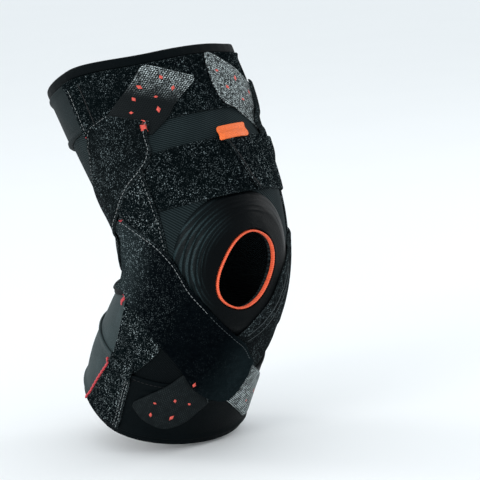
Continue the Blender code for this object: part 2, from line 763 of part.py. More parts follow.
def make_calf_back_panel():
    """Smooth panel behind the calf, between the side panels and the calf strap."""
    def low(angle):
        return calf_band_low(angle) + CALF_STRAP_WIDTH - STRAP_WALL

    def high(angle):
        return low(angle) + CALF_BACK_LENGTH * back_dip(angle)

    start = SIDE_PANEL_ANGLE + STRAP_OVERLAP
    grid = band_grid(start, start, 360.0 - start, 360.0 - start, low, high)
    lay("calf_back_panel", grid, ELASTIC_WALL, "elastic")


def back_dip(angle):
    """Upper edge of the calf's back panel, which dips behind the knee."""
    behind = np.radians(np.clip(np.asarray(angle) - 90.0, 0.0, 180.0))
    return 1.0 - CALF_BACK_DIP * np.sin(behind)


def make_calf_strap_back():
    def high(angle):
        return calf_band_low(angle) + CALF_STRAP_WIDTH

    start = CALF_FRONT_OUTER + 2 * STRAP_OVERLAP
    grid = band_grid(start, start, 360.0 - start, 360.0 - start, calf_band_low, high)
    lay("calf_strap_back", grid, ELASTIC_WALL, "elastic")


def make_calf_strap_front():
    def high(angle):
        return calf_band_low(angle) + CALF_STRAP_WIDTH * (1 - CALF_FRONT_DIP * np.sin(np.radians(angle)))

    grid = band_grid(CALF_FRONT_OUTER + STRAP_OVERLAP / 2, CALF_FRONT_OUTER + STRAP_OVERLAP / 2,
                     CALF_FRONT_INNER - STRAP_OVERLAP / 2, CALF_FRONT_INNER - STRAP_OVERLAP / 2,
                     calf_band_low, high)
    lay("calf_strap_front", grid, STRAP_WALL, "binding")


def calf_panel_ends(side):
    """Angles of a calf panel's front edge, and of its rear edge low and high."""
    front = side * CALF_FRONT_OUTER
    return front, front + side * CALF_PANEL_LOW_REACH, front + side * CALF_PANEL_HIGH_REACH


def make_calf_panel(name, side):
    def high(angle):
        return calf_band_low(angle) + CALF_PANEL_WIDTH

    front, rear_low, rear_high = calf_panel_ends(side)
    grid = band_grid(front, front, rear_low, rear_high, calf_band_low, high)
    lay(name, grid, STRAP_WALL, "velour")


def make_cord(name, side):
    """Thin cord along the rear edge of a calf panel."""
    _, rear_low, rear_high = calf_panel_ends(side)
    clear = side * math.degrees((CORD_DIAMETER / 2 + LAYER_GAP) / (KNEE_WIDTH / 2))
    t = np.linspace(CORD_END_SHARE, 1 - CORD_END_SHARE, CORD_STEPS)
    angle = rear_low + clear + t * (rear_high - rear_low)
    low = calf_band_low(rear_low)
    height = low + t * CALF_PANEL_WIDTH
    seat = LAYERS.seat(SMALL_SHOULDER)
    offset = LAYERS.sample(seat, angle, height) + LAYER_GAP + CORD_DIAMETER / 2
    points = leg_point(angle, height, offset)
    curve = bpy.data.curves.new(name, "CURVE")
    curve.dimensions = "3D"
    curve.bevel_depth = CORD_DIAMETER / 2
    curve.bevel_resolution = 1
    curve.use_fill_caps = True
    spline = curve.splines.new("POLY")
    spline.points.add(len(points) - 1)
    for place, point in zip(spline.points, points):
        place.co = (*point, 1.0)
    body = bpy.data.objects.new(name, curve)
    bpy.context.scene.collection.objects.link(body)
    curve.materials.append(make_material(name, "cord"))
    return body


def make_label():
    """Small tag whose lower edge laps over the strap above the knee."""
    turn = math.radians(LABEL_LEAN)
    u, v = np.meshgrid(np.linspace(-0.5, 0.5, 6), np.linspace(0.0, 1.0, 4), indexing="ij")
    across, up = u * LABEL_WIDTH, v * LABEL_HEIGHT - LABEL_OVERLAP
    height = KNEE_STRAP_HEIGHT + KNEE_STRAP_WIDTH + across * math.sin(turn) + up * math.cos(turn)
    round_leg = (across * math.cos(turn) - up * math.sin(turn)) / side_width(-1.0, height)
    angle = LABEL_ANGLE - np.degrees(round_leg)
    lay("label", (angle, height), LABEL_WALL, "label", SMALL_SHOULDER)


def build():
    clear_scene()
    make_sleeve()
    make_binding("top_binding", top_hem, 1.0, TOP_BINDING_HEIGHT)
    make_binding("bottom_binding", bottom_hem, -1.0, BOTTOM_BINDING_HEIGHT)
    make_pad()
    make_piping()
    make_calf_back_panel()
    make_calf_strap_back()
    thigh_front = make_thigh_strap()
    make_knee_strap_outer()
    make_side_panel("outer_side_panel", 1.0)
    make_side_panel("inner_side_panel", -1.0)
    thigh_front()
    make_calf_strap_front()
    make_cord("outer_cord", 1.0)
    make_cord("inner_cord", -1.0)
    make_calf_panel("calf_outer_panel", 1.0)
    make_calf_panel("calf_inner_panel", -1.0)
    tip, root, sewn = TAB_CORNER_RADIUS, CORNER_RADIUS, 0.0
    lay("upper_inner_tab", strap_grid(UPPER_INNER_TAB, sewn, tip), TAB_WALL, "mesh")
    lay("upper_inner_wing", strap_grid(UPPER_INNER_WING, root, sewn), STRAP_WALL, "wing")
    make_knee_strap_inner()
    make_label()
    lay("lower_inner_tab", strap_grid(LOWER_INNER_TAB, sewn, tip), TAB_WALL, "mesh")
    lay("lower_inner_wing", strap_grid(LOWER_INNER_WING, root, sewn), STRAP_WALL, "wing")
    lay("lower_outer_tab", strap_grid(LOWER_OUTER_TAB, sewn, tip), TAB_WALL, "mesh")
    lay("lower_outer_wing", strap_grid(LOWER_OUTER_WING, root, sewn), STRAP_WALL, "wing")
    lay("upper_outer_tab", strap_grid(UPPER_OUTER_TAB, sewn, tip), TAB_WALL, "mesh")
    lay("upper_outer_wing", strap_grid(UPPER_OUTER_WING, root, sewn), STRAP_WALL, "wing")


build()
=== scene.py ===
import math

import bpy
import numpy as np
from mathutils import Matrix, Vector


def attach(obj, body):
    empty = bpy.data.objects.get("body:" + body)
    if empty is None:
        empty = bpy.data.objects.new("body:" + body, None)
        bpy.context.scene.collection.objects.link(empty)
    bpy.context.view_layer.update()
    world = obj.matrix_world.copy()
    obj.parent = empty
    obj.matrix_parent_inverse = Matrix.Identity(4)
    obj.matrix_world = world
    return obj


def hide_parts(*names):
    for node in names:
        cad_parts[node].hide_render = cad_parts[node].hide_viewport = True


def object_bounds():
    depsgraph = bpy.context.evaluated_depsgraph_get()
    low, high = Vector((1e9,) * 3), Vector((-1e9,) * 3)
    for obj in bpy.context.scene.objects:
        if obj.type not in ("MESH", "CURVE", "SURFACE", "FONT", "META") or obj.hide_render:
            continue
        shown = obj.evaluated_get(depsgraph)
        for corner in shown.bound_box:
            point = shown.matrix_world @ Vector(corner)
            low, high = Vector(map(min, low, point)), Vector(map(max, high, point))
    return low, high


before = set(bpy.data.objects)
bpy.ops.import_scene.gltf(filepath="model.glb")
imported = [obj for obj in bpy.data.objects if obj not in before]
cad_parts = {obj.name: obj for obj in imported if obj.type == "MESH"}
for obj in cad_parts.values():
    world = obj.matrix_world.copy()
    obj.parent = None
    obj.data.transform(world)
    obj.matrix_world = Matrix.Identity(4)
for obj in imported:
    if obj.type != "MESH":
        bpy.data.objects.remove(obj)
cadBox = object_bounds()
print("frame loaded")


def addObject(name, data):
    added = bpy.data.objects.new(name, data)
    bpy.context.scene.collection.objects.link(added)
    return added


def newMesh(name, points, faces):
    mesh = bpy.data.meshes.new(name)
    mesh.from_pydata(points.reshape(-1, 3).tolist(), [], faces)
    return mesh


# camera: looks at the middle of the bend from the outer front, slightly above
cameraSet = {"azimuth": -37.9, "elevation": 10.7, "roll": -3.17, "distance": 1.8,
             "lens": 175.5, "shiftX": 0.074, "shiftY": 0.036}


def placeCamera(c):
    turn, lift, roll = (math.radians(c[k]) for k in ("azimuth", "elevation", "roll"))
    back = Vector((math.sin(turn) * math.cos(lift), -math.cos(turn) * math.cos(lift), math.sin(lift)))
    right = Vector((math.cos(turn), math.sin(turn), 0.0))
    up = back.cross(right)
    side = right * math.cos(roll) + up * math.sin(roll)
    top = up * math.cos(roll) - right * math.sin(roll)
    data = bpy.data.cameras.new("camera")
    data.lens, data.shift_x, data.shift_y = c["lens"], c["shiftX"], c["shiftY"]
    camera = addObject("camera", data)
    turned = Matrix((side, top, back)).transposed().to_4x4()
    camera.matrix_world = Matrix.Translation(back * c["distance"]) @ turned
    bpy.context.scene.camera = camera


placeCamera(cameraSet)

# the bent form that every layer is laid on: angle 0 at the front, + to the outer side
leg = {"thigh": 0.1512, "calf": 0.1379, "width": 0.1292, "front": 0.0558, "back": 0.053,
       "thighLean": 23.2, "calfLean": 25.1, "bend": 0.06, "axisMargin": 0.04}
legSections = (
    # share, outer half width, inner half width, front depth, back depth
    (-1.00, 0.97, 0.93, 0.73, 1.5),
    (-0.75, 0.985, 0.93, 0.785, 1.46),
    (-0.5, 0.99, 0.945, 0.855, 1.28),
    (-0.25, 1.00, 0.985, 0.935, 1.08),
    (0.00, 0.99, 1.00, 1.00, 0.95),
    (0.25, 1.035, 1.02, 1.02, 1.02),
    (0.5, 1.095, 1.025, 1.01, 1.23),
    (0.75, 1.155, 1.05, 0.975, 1.41),
    (1.00, 1.22, 1.00, 0.93, 1.53),
)
hems = {"riseBack": 0.007, "riseStart": 25.0, "riseSpan": 60.0, "dropBack": 0.01, "dropHigh": 50.0,
        "topBinding": 0.007, "bottomBinding": 0.005}
walls = {"sleeve": 0.0025, "strap": 0.0016, "elastic": 0.0014, "tab": 0.0012, "binding": 0.0012,
         "panel": 0.0016, "label": 0.001}
gap = 0.0003  # between laid layers
snug = 0.0002  # between the sleeve and what is sewn to it
halfKnee = leg["width"] / 2


def smoothCurve(table, column, at):
    xs, ys = (np.array([row[k] for row in table]) for k in (0, column))
    slope = np.gradient(ys, xs)
    at = np.asarray(at, dtype=float)
    i = np.clip(np.searchsorted(xs, at) - 1, 0, len(xs) - 2)
    width = xs[i + 1] - xs[i]
    t = (at - xs[i]) / width
    s = np.clip(t, 0.0, 1.0)
    value = ((1 + 2 * s) * (1 - s) ** 2 * ys[i] + s * (1 - s) ** 2 * width * slope[i]
             + s ** 2 * (3 - 2 * s) * ys[i + 1] + s ** 2 * (s - 1) * width * slope[i + 1])
    return value + (t - s) * width * np.where(t > 1, slope[i + 1], slope[i])


def ease(t):  # 0 to 1, flat at both ends
    t = np.clip(t, 0.0, 1.0)
    return t * t * (3 - 2 * t)


def dome(t):  # quarter round from 0 to 1
    return np.sqrt(np.clip(1 - (1 - np.clip(t, 0.0, 1.0)) ** 2, 0.0, 1.0))


def rounded(t):  # share of a cloth's thickness, from its cut edge inwards
    return 0.35 + 0.65 * dome(t)


def around(angle):  # way round the form at its bend, in metres
    return np.radians(angle) * halfKnee


def heightOf(share):
    share = np.asarray(share, dtype=float)
    return share * np.where(share > 0, leg["thigh"], leg["calf"])


def shareOf(height):
    height = np.asarray(height, dtype=float)
    return height / np.where(height > 0, leg["thigh"], leg["calf"])


def leanAt(height):
    t = ease((np.asarray(height) + leg["bend"]) / (2 * leg["bend"]))
    return np.radians(-leg["calfLean"] + (leg["thighLean"] + leg["calfLean"]) * t)


def makeAxis():
    heights = np.linspace(-leg["calf"] - leg["axisMargin"], leg["thigh"] + leg["axisMargin"], 800)
    lean, step = leanAt(heights), np.diff(heights)
    y, z = (np.append(0, np.cumsum((way[1:] + way[:-1]) / 2 * step)) for way in (np.sin(lean), np.cos(lean)))
    return heights, y - np.interp(0, heights, y), z - np.interp(0, heights, z)


axisHeights, axisY, axisZ = makeAxis()


def legPoint(angle, height, offset):
    angle, share, lean = np.radians(angle), shareOf(height), leanAt(height)
    outer, inner = (smoothCurve(legSections, k, share) * halfKnee + offset for k in (1, 2))
    front = smoothCurve(legSections, 3, share) * leg["front"] + offset
    back = smoothCurve(legSections, 4, share) * leg["back"] + offset
    depth = np.where(np.cos(angle) > 0, front, back) * np.cos(angle)
    x = -np.where(np.sin(angle) > 0, outer, inner) * np.sin(angle)
    y = np.interp(height, axisHeights, axisY) - np.cos(lean) * depth
    z = np.interp(height, axisHeights, axisZ) + np.sin(lean) * depth
    return np.stack([x, y, z], axis=-1)


def sideWidth(x, height):
    outer, inner = (smoothCurve(legSections, k, shareOf(height)) for k in (1, 2))
    return np.where(np.asarray(x) < 0, outer, inner) * halfKnee


def frontSpot(x, z, offset):  # angle and height of the front point at x, z
    height = z * 0.6
    for _ in range(30):
        angle = np.degrees(np.arcsin(np.clip(-x / (sideWidth(x, height) + offset), -0.999, 0.999)))
        height = height + 0.5 * (z - legPoint(angle, height, offset)[..., 2])
    return angle, height


def topHem(angle):
    return leg["thigh"] + hems["riseBack"] * ease((np.abs(angle) - hems["riseStart"]) / hems["riseSpan"])


def bottomHem(angle):
    return -leg["calf"] - hems["dropBack"] * (1 - np.cos(np.radians(angle - hems["dropHigh"]))) / 2


def waver(angle, height, size, seed):  # slow unevenness of hand-sewn cloth
    rng = np.random.default_rng(seed)
    total = 0.0
    for turns, rate in ((2, 0.06), (5, 0.11), (9, 0.19), (14, 0.05)):
        shift = rng.uniform(0, 6.28, 2)
        total = total + (np.sin(turns * np.radians(angle) + shift[0])
                         * np.cos(rate * np.asarray(height) * 1000.0 + shift[1]))
    return size * total / 4


def foldHeight(angle, height, folds):
    # folds: (points as angle and share, half width, height); a fold fades at its ends
    a = around(np.asarray(angle, dtype=float))
    total = np.zeros(np.shape(a))
    for points, width, raised in folds:
        p = np.array(points, dtype=float)
        px, py = around(p[:, 0]), heightOf(p[:, 1])
        best, fade = np.full(a.shape, 1e9), np.zeros(a.shape)
        lengths = np.hypot(np.diff(px), np.diff(py))
        passed = 0.0
        for k, length in enumerate(lengths):
            dx, dy = px[k + 1] - px[k], py[k + 1] - py[k]
            t = np.clip(((a - px[k]) * dx + (height - py[k]) * dy) / length ** 2, 0.0, 1.0)
            away = np.hypot(a - px[k] - t * dx, height - py[k] - t * dy)
            along = (passed + t * length) / lengths.sum()
            nearer = away < best
            best = np.where(nearer, away, best)
            fade = np.where(nearer, np.clip(4 * along * (1 - along), 0.0, 1.0) ** 0.5, fade)
            passed += length
        total = total + raised * fade * np.exp(-(best / width) ** 2)
    return total


# outer height of the layers laid so far, over angle and height
stackSet = {"angleStep": 0.6, "heightStep": 0.0006, "margin": 0.02, "shoulder": 0.0016, "soften": 0.0013}


def shifted(field, by):
    return field[np.clip(np.arange(field.shape[0]) - by, 0, field.shape[0] - 1)]


class Stack:
    def __init__(self, s=stackSet):
        self.heights = np.arange(-leg["calf"] - s["margin"], leg["thigh"] + s["margin"], s["heightStep"])
        self.angle, self.height = np.meshgrid(np.arange(-180.0, 180.0, s["angleStep"]), self.heights)
        self.top = walls["sleeve"] + sleeveRelief(self.angle, self.height)

    def seat(self, shoulder=stackSet["shoulder"], soften=stackSet["soften"]):
        # widen what lies below by the shoulder, then soften its edges
        reach, step, cell = shoulder + soften, stackSet["heightStep"], around(stackSet["angleStep"])
        spread, rows = self.top.copy(), round(reach / step)
        for row in range(-rows, rows + 1):
            columns = round(math.sqrt(max(reach ** 2 - (row * step) ** 2, 0.0)) / cell)
            wide = shifted(self.top, row)
            for column in range(-columns, columns + 1):
                spread = np.maximum(spread, np.roll(wide, column, axis=1))
        rows, columns = round(soften / step), round(soften / cell)
        for _ in range(2):
            spread = sum(shifted(spread, k) for k in range(-rows, rows + 1)) / (2 * rows + 1)
            spread = sum(np.roll(spread, k, axis=1) for k in range(-columns, columns + 1)) / (2 * columns + 1)
        return spread

    def read(self, field, angle, height):
        u = (np.asarray(angle) + 180.0) / stackSet["angleStep"]
        v = np.clip((height - self.heights[0]) / stackSet["heightStep"], 0.0, len(self.heights) - 1.001)
        i, j = np.floor(u).astype(int), np.floor(v).astype(int)
        u, v, count = u - i, v - j, field.shape[1]
        low, high = (field[j + k, i % count] * (1 - u) + field[j + k, (i + 1) % count] * u for k in (0, 1))
        return low * (1 - v) + high * v

    def cover(self, angles, heights, raised):  # raised: the new outer height inside an outline
        middle = (min(angles) + max(angles)) / 2
        rows = np.where((self.heights >= min(heights)) & (self.heights <= max(heights)))[0]
        a, h = (self.angle[rows] - middle + 180.0) % 360.0 - 180.0 + middle, self.height[rows]
        inside = np.zeros(a.shape, dtype=bool)
        for k in range(len(angles)):
            a0, h0, a1, h1 = angles[k - 1], heights[k - 1], angles[k], heights[k]
            if h0 != h1:
                inside ^= ((h0 > h) != (h1 > h)) & (a < a0 + (h - h0) * (a1 - a0) / (h1 - h0))
        self.top[rows] = np.where(inside, np.maximum(self.top[rows], raised[rows]), self.top[rows])


class Wire:
    def __init__(self, bench, socket):
        self.bench, self.socket = bench, socket

    def calc(self, operation, first, second=0.0):
        return self.bench.node("ShaderNodeMath", {"operation": operation}, {0: first, 1: second})

    def over(self, low, high):  # 0 below low, 1 above high, smooth between
        return self.bench.node("ShaderNodeMapRange", {"interpolation_type": "SMOOTHSTEP"},
                               {0: self, 1: low, 2: high})

    def ribs(self, pitch):  # 0 to 1 and back in each pitch
        return self.calc("SINE", self * (math.tau / pitch)) * 0.5 + 0.5

    def atLeast(self, other):
        return self.calc("MAXIMUM", self, other)


def operator(name, reflected):
    return lambda self, other: self.calc(name, *((other, self) if reflected else (self, other)))


for word, name in (("add", "ADD"), ("sub", "SUBTRACT"), ("mul", "MULTIPLY")):
    setattr(Wire, "__" + word + "__", operator(name, False))
    setattr(Wire, "__r" + word + "__", operator(name, True))


class Bench:
    def __init__(self, name):
        self.material = bpy.data.materials.new(name)
        self.material.use_nodes = True
        self.tree = self.material.node_tree
        self.shader = self.tree.nodes["Principled BSDF"]

    def node(self, kind, settings=None, sockets=None, out=(0,)):
        made = self.tree.nodes.new(kind)
        for key, value in (settings or {}).items():
            setattr(made, key, value)
        for key, value in (sockets or {}).items():
            self.feed(made.inputs[key], value)
        wires = [Wire(self, made.outputs[k]) for k in out]
        return wires[0] if len(wires) == 1 else wires

    def feed(self, socket, value):
        if isinstance(value, Wire):
            self.tree.links.new(value.socket, socket)
        else:
            socket.default_value = (*value, 1.0) if socket.type == "RGBA" else value

    def cloth(self, *which):  # 0 along, 1 across, 2 distance from the edge, in millimetres
        spot = self.node("ShaderNodeAttribute", {"attribute_name": "cloth"}, out=("Vector",))
        return self.node("ShaderNodeSeparateXYZ", None, {0: spot}, which)

    def grain(self, size, detail=2.0):  # noise with grains of a size in millimetres
        spot = self.node("ShaderNodeTexCoord", out=("Object",))
        where = self.node("ShaderNodeVectorMath", {"operation": "SCALE"}, {0: spot, "Scale": 1000.0})
        return self.node("ShaderNodeTexNoise", None, {"Vector": where, "Scale": 1.0 / size, "Detail": detail})

    def mix(self, amount, first, second):
        return self.node("ShaderNodeMix", {"data_type": "RGBA"}, {0: amount, 6: first, 7: second}, (2,))

    def finish(self, colour, rough, bump, depth, sheen=0.0, shine=0.0, sheenRough=0.5):
        normal = self.node("ShaderNodeBump", None, {"Height": bump, "Distance": depth, "Strength": 1.0},
                           ("Normal",))
        for name, value in (("Base Color", colour), ("Roughness", rough), ("Normal", normal),
                            ("Sheen Weight", sheen), ("Sheen Roughness", sheenRough),
                            ("Specular IOR Level", shine)):
            self.feed(self.shader.inputs[name], value)
        return self.material


velourSet = {"pile": (0.0036, 0.0064, 0.0074), "hollow": (0.0008, 0.0017, 0.0021),
             "speck": (0.42, 0.5, 0.51), "speckSize": 0.8, "speckFrom": 0.57, "speckTo": 0.75,
             "patch": 17.0, "edgeWear": 0.05, "nap": 0.0}
dimVelourSet = dict(velourSet, pile=(0.0028, 0.005, 0.0058), speck=(0.21, 0.26, 0.27))
wingSet = {"pile": (0.0032, 0.0052, 0.006), "hollow": (0.001, 0.002, 0.0024),
           "speck": (0.19, 0.24, 0.25), "speckSize": 0.8, "speckFrom": 0.56, "speckTo": 0.76,
           "patch": 24.0, "edgeWear": 0.13, "nap": 0.012}
# painted light on the lower outer wing: a darker ground, specks boosted near the root with a paler painted
# sheen there, painted shade towards the free end, a painted highlight near the tip
paintedLightWingSet = dict(wingSet, pile=(0.002, 0.0032, 0.0042), hollow=(0.0006, 0.0012, 0.0018), nap=0.0,
                     fadeFrom=72.0, fadeTo=118.0, paintedRootSheen=(0.024, 0.034, 0.036),
                     paintedTipHighlight=(0.009, 0.015, 0.017), tipHighlightFrom=150.0)


def makeVelour(name, s):
    b = Bench(name)
    along, edge = b.cloth(0, 2)
    fine, coarse, patch = b.grain(s["speckSize"], 1.0), b.grain(3.1), b.grain(s["patch"], 1.0)
    specks = (fine.over(s["speckFrom"], s["speckTo"]) * (0.3 + 0.7 * patch.over(0.36, 0.62))
              * coarse.over(0.3, 0.62))
    ground = b.mix(coarse, s["hollow"], s["pile"])
    worn = (1 - edge.over(0.2, 1.6)) * fine.over(0.45, 0.6) * s["edgeWear"]
    if "fadeFrom" in s:  # painted shade: specks and edge flecks fade towards the free end, away from the left lamp
        start = s["fadeFrom"]
        lightFade = 1 - along.over(start, s["fadeTo"]) * 0.93
        # painted light: near the root the specks are raised to nearly double, where the left lamp grazes the
        # pile
        raised = 1 + (1 - along.over(start - 20.0, start + 12.0)) * 0.9
        specks, worn = specks * lightFade * raised, worn * lightFade
        # painted sheen: a paler ground near the root
        ground = b.mix((1 - along.over(start - 24.0, start + 12.0)) * 0.45, ground, s["paintedRootSheen"])
        # painted highlight: a grey sheen on the ground towards the tip
        tip = along.over(s["tipHighlightFrom"], s["tipHighlightFrom"] + 38.0) * (0.4 + 0.6 * coarse)
        ground = b.mix(tip, ground, s["paintedTipHighlight"])
    colour = b.mix(specks.atLeast(worn), ground, s["speck"])
    return b.finish(colour, 0.92, fine + coarse * 0.6, 0.0006, s["nap"], sheenRough=0.6)


knitSet = {"dark": (0.0028, 0.0058, 0.0066), "pale": (0.03, 0.043, 0.046), "pitch": 1.9, "slant": 0.65,
           "dimBelow": -54.0, "calfEndTone": (0.0014, 0.0028, 0.0034)}


def makeKnit(name, s):  # fine ribs that run down on a slant
    b = Bench(name)
    turn, up = b.cloth(0, 1)
    ribs = (up - turn * s["slant"]).ribs(s["pitch"])
    fuzz, patch = b.grain(0.7), b.grain(19.0, 1.0)
    colour = b.mix(ribs * (0.55 + 0.45 * fuzz) * (0.66 + 0.24 * patch.over(0.3, 0.7)), s["dark"], s["pale"])
    colour = b.mix(up.over(s["dimBelow"], s["dimBelow"] + 35.0), s["calfEndTone"], colour)  # the calf end is darker
    return b.finish(colour, 0.8, ribs + fuzz * 0.6, 0.0003, 0.01, 0.04)


bindingSet = {"ground": (0.0008, 0.0018, 0.0023), "pale": (0.0036, 0.0066, 0.0078), "pitch": 0.8}
elasticSet = {"ground": (0.01, 0.016, 0.017), "pale": (0.064, 0.096, 0.1), "pitch": 1.1}
darkElasticSet = {"ground": (0.004, 0.0072, 0.008), "pale": (0.018, 0.028, 0.03), "pitch": 1.1}
# the pad's paler streaks towards its outline are a painted highlight
padSet = {"ground": (0.0004, 0.001, 0.0014), "pale": (0.002, 0.0038, 0.0046), "pitch": 0.9,
          "worn": (0.02, 0.035, 0.0385), "wornFrom": 33.0, "wornTo": 43.0, "streak": 2.6}


def makeWoven(name, s, rough, sheen, shine):  # smooth band: fine lines along it, slight weft
    b = Bench(name)
    along, across = b.cloth(0, 1)
    weave = across.ribs(s["pitch"]) * 0.6 + along.ribs(s["pitch"] * 0.8) * 0.4
    fuzz, patch = b.grain(0.6), b.grain(22.0, 1.5)
    amount = weave * 0.6 * fuzz.over(0.25, 0.75) + 0.05 + patch.over(0.35, 0.75) * 0.12
    colour = b.mix(amount, s["ground"], s["pale"])
    if "worn" in s:  # painted highlight: paler streaks towards the outline, on the outer side, stand for the left lamp's sheen on the pad's ridges
        outerSide = along.over(62.0, 84.0) * (1 - along.over(118.0, 142.0))
        streaks = (across + along * 0.12).ribs(s["streak"]).over(0.55, 0.975) * fuzz.over(0.3, 0.6)
        amount = across.over(s["wornFrom"], s["wornTo"]) * outerSide * (0.12 + 0.88 * streaks)
        colour = b.mix(amount, colour, s["worn"])
    return b.finish(colour, rough, weave * 0.5 + fuzz * 0.5, 0.00022, sheen, shine, 0.45)


meshSet = {"ground": (0.003, 0.0044, 0.005), "thread": (0.038, 0.048, 0.05), "dot": (0.76, 0.86, 0.86),
           "flecks": 0.26, "pitch": 1.6, "patch": 5.0, "patchFrom": 0.38, "patchTo": 0.64}
mottledSet = dict(meshSet, pitch=1.4, patch=4.6, patchFrom=0.47, patchTo=0.56, thread=(0.08, 0.1, 0.1))
sparkSet = dict(meshSet, pitch=1.5, patch=2.8, patchFrom=0.4, patchTo=0.6, thread=(0.035, 0.045, 0.047),
                flecks=0.4)
plainMeshSet = dict(meshSet, flecks=0.0, ground=(0.0044, 0.0066, 0.0074), thread=(0.011, 0.015, 0.016),
                    dot=(0.022, 0.029, 0.03))


def makeDotted(name, s, brightStart, brightEnd, dotShare=1.0):
    # open mesh over hook tape: a square grid of pale dots, brighter towards one end
    b = Bench(name)
    along, across = b.cloth(0, 1)
    a, c = along.ribs(s["pitch"]), across.ribs(s["pitch"])
    dots, grid = (a * c).over(0.34, 0.62), a.atLeast(c).over(0.75, 0.98)
    patch, fine, lit = b.grain(s["patch"]), b.grain(1.1, 1.0), along.over(brightStart, brightEnd)
    bright = lit * (0.16 + patch.over(s["patchFrom"], s["patchTo"])) * dotShare
    colour = b.mix(grid * 0.5 * (0.3 + 0.7 * bright), s["ground"], s["thread"])
    colour = b.mix(dots * bright * (0.35 + 0.65 * fine.over(0.35, 0.6)), colour, s["dot"])
    colour = b.mix(fine.over(0.5, 0.66) * lit * s["flecks"], colour, s["dot"])
    return b.finish(colour, 0.62, dots * 0.7 + fine * 0.3, 0.0004, 0.0, 0.06)


pipingSet = {"ground": (0.66, 0.06, 0.022), "pale": (0.9, 0.17, 0.068), "pitch": 1.3}


def makePiping(name, s):
    b = Bench(name)
    ribs, fuzz = b.cloth(0).ribs(s["pitch"]), b.grain(0.8)
    colour = b.mix(ribs * 0.6 + fuzz * 0.3, s["ground"], s["pale"])
    return b.finish(colour, 0.5, ribs * 0.6 + fuzz * 0.4, 0.0003, 0.03, 0.3)


def makeThread(name, colour, rough=0.5, depth=0.00015):
    b = Bench(name)
    fuzz = b.grain(0.5)
    darker = tuple(0.6 * c for c in colour)
    return b.finish(b.mix(fuzz.over(0.3, 0.65), darker, colour), rough, fuzz, depth, 0.03, 0.2)


looks = {name: make(name, *how) for name, make, *how in (
    ("knit", makeKnit, knitSet),
    ("binding", makeWoven, bindingSet, 0.55, 0.0, 0.03),
    ("velour", makeVelour, velourSet),
    ("dimVelour", makeVelour, dimVelourSet),
    ("wingVelour", makeVelour, wingSet),
    ("wingPaintedLight", makeVelour, paintedLightWingSet),
    ("elastic", makeWoven, elasticSet, 0.65, 0.02, 0.08),
    ("darkElastic", makeWoven, darkElasticSet, 0.65, 0.01, 0.06),
    ("padJersey", makeWoven, padSet, 0.36, 0.008, 0.045),
    ("pipingBand", makePiping, pipingSet),
    ("meshFading", makeDotted, meshSet, 27.0, 54.0, 1.1),
    ("meshBright", makeDotted, sparkSet, -12.0, 26.0, 0.8),
    ("meshMottled", makeDotted, mottledSet, -12.0, 26.0, 2.6),
    ("meshDark", makeDotted, plainMeshSet, -60.0, 60.0),
    ("paleThread", makeThread, (0.26, 0.28, 0.28)),
    # grey thread: stitches, and also painted fold highlights on the lower inner wing
    ("greyThreadAndFoldHighlight", makeThread, (0.055, 0.068, 0.072)),
    ("darkThread", makeThread, (0.005, 0.0055, 0.006)),
    ("coralMark", makeThread, (0.74, 0.105, 0.08)),
    ("crimsonCord", makeThread, (0.52, 0.038, 0.05), 0.42),
    ("labelCloth", makeThread, (0.95, 0.18, 0.042), 0.5, 0.00025),
)}
print("finishes made:", len(looks))


def put(name, points, faces, look, node=None, cloth=None, girth=0.0):
    mesh = newMesh(name, points, faces)
    mesh.validate()
    if cloth is not None:
        corner = np.zeros(len(mesh.loops), dtype=np.int32)
        mesh.loops.foreach_get("vertex_index", corner)
        values = np.asarray(cloth, dtype=np.float32)[corner] * 1000.0
        if girth:  # faces across the seam carry on past the full turn
            starts = np.zeros(len(mesh.polygons), dtype=np.int32)
            mesh.polygons.foreach_get("loop_start", starts)
            wide = np.maximum.reduceat(values[:, 0], starts) - np.minimum.reduceat(values[:, 0], starts)
            crossing = np.repeat(wide > girth * 500, np.diff(np.append(starts, len(corner))))
            values[crossing & (values[:, 0] < 0), 0] += girth * 1000.0
        mesh.attributes.new("cloth", "FLOAT_VECTOR", "CORNER").data.foreach_set("vector", values.ravel())
    mesh.materials.append(looks[look])
    mesh.shade_smooth()
    piece = addObject(name, mesh)
    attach(piece, "root")
    if node:
        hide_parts(node)
    return piece


def gridFaces(rows, columns, wrap=False):
    return [(i * columns + j, i * columns + (j + 1) % columns, (i + 1) * columns + (j + 1) % columns,
             (i + 1) * columns + j) for i in range(rows - 1) for j in range(columns if wrap else columns - 1)]


def outward(points, faces):  # the faces of a closed body, turned to look out
    p = points.reshape(-1, 3)
    a, b, c = np.array([(f[0], f[k], f[k + 1]) for f in faces for k in range(1, len(f) - 1)]).T
    volume = np.einsum("ij,ij->", p[a], np.cross(p[b], p[c]))
    return faces if volume > 0 else [face[::-1] for face in faces]


def twoSided(faces, edges, count):  # outer faces, the same on the inner side, and the rim between
    return (faces + [tuple(count + v for v in face[::-1]) for face in faces]
            + [(b, a, a + count, b + count) for a, b in edges])


def edgeLoop(rows, columns):
    grid = np.arange(rows * columns).reshape(rows, columns)
    return np.concatenate([grid[0], grid[1:, -1], grid[-1, -2::-1], grid[-2:0:-1, 0]])


def runOf(points):  # distance passed along a line of points
    return np.append(0, np.cumsum(np.linalg.norm(np.diff(points, axis=0), axis=1)))


def stations(length, step, rounding):
    edge = np.array([0.0, 0.15, 0.45, 1.0]) * rounding
    count = max(2, math.ceil((length - 2 * rounding) / step))
    middle = np.linspace(rounding, length - rounding, count + 1)
    return np.concatenate([edge[:-1], middle, length - edge[:-1][::-1]])


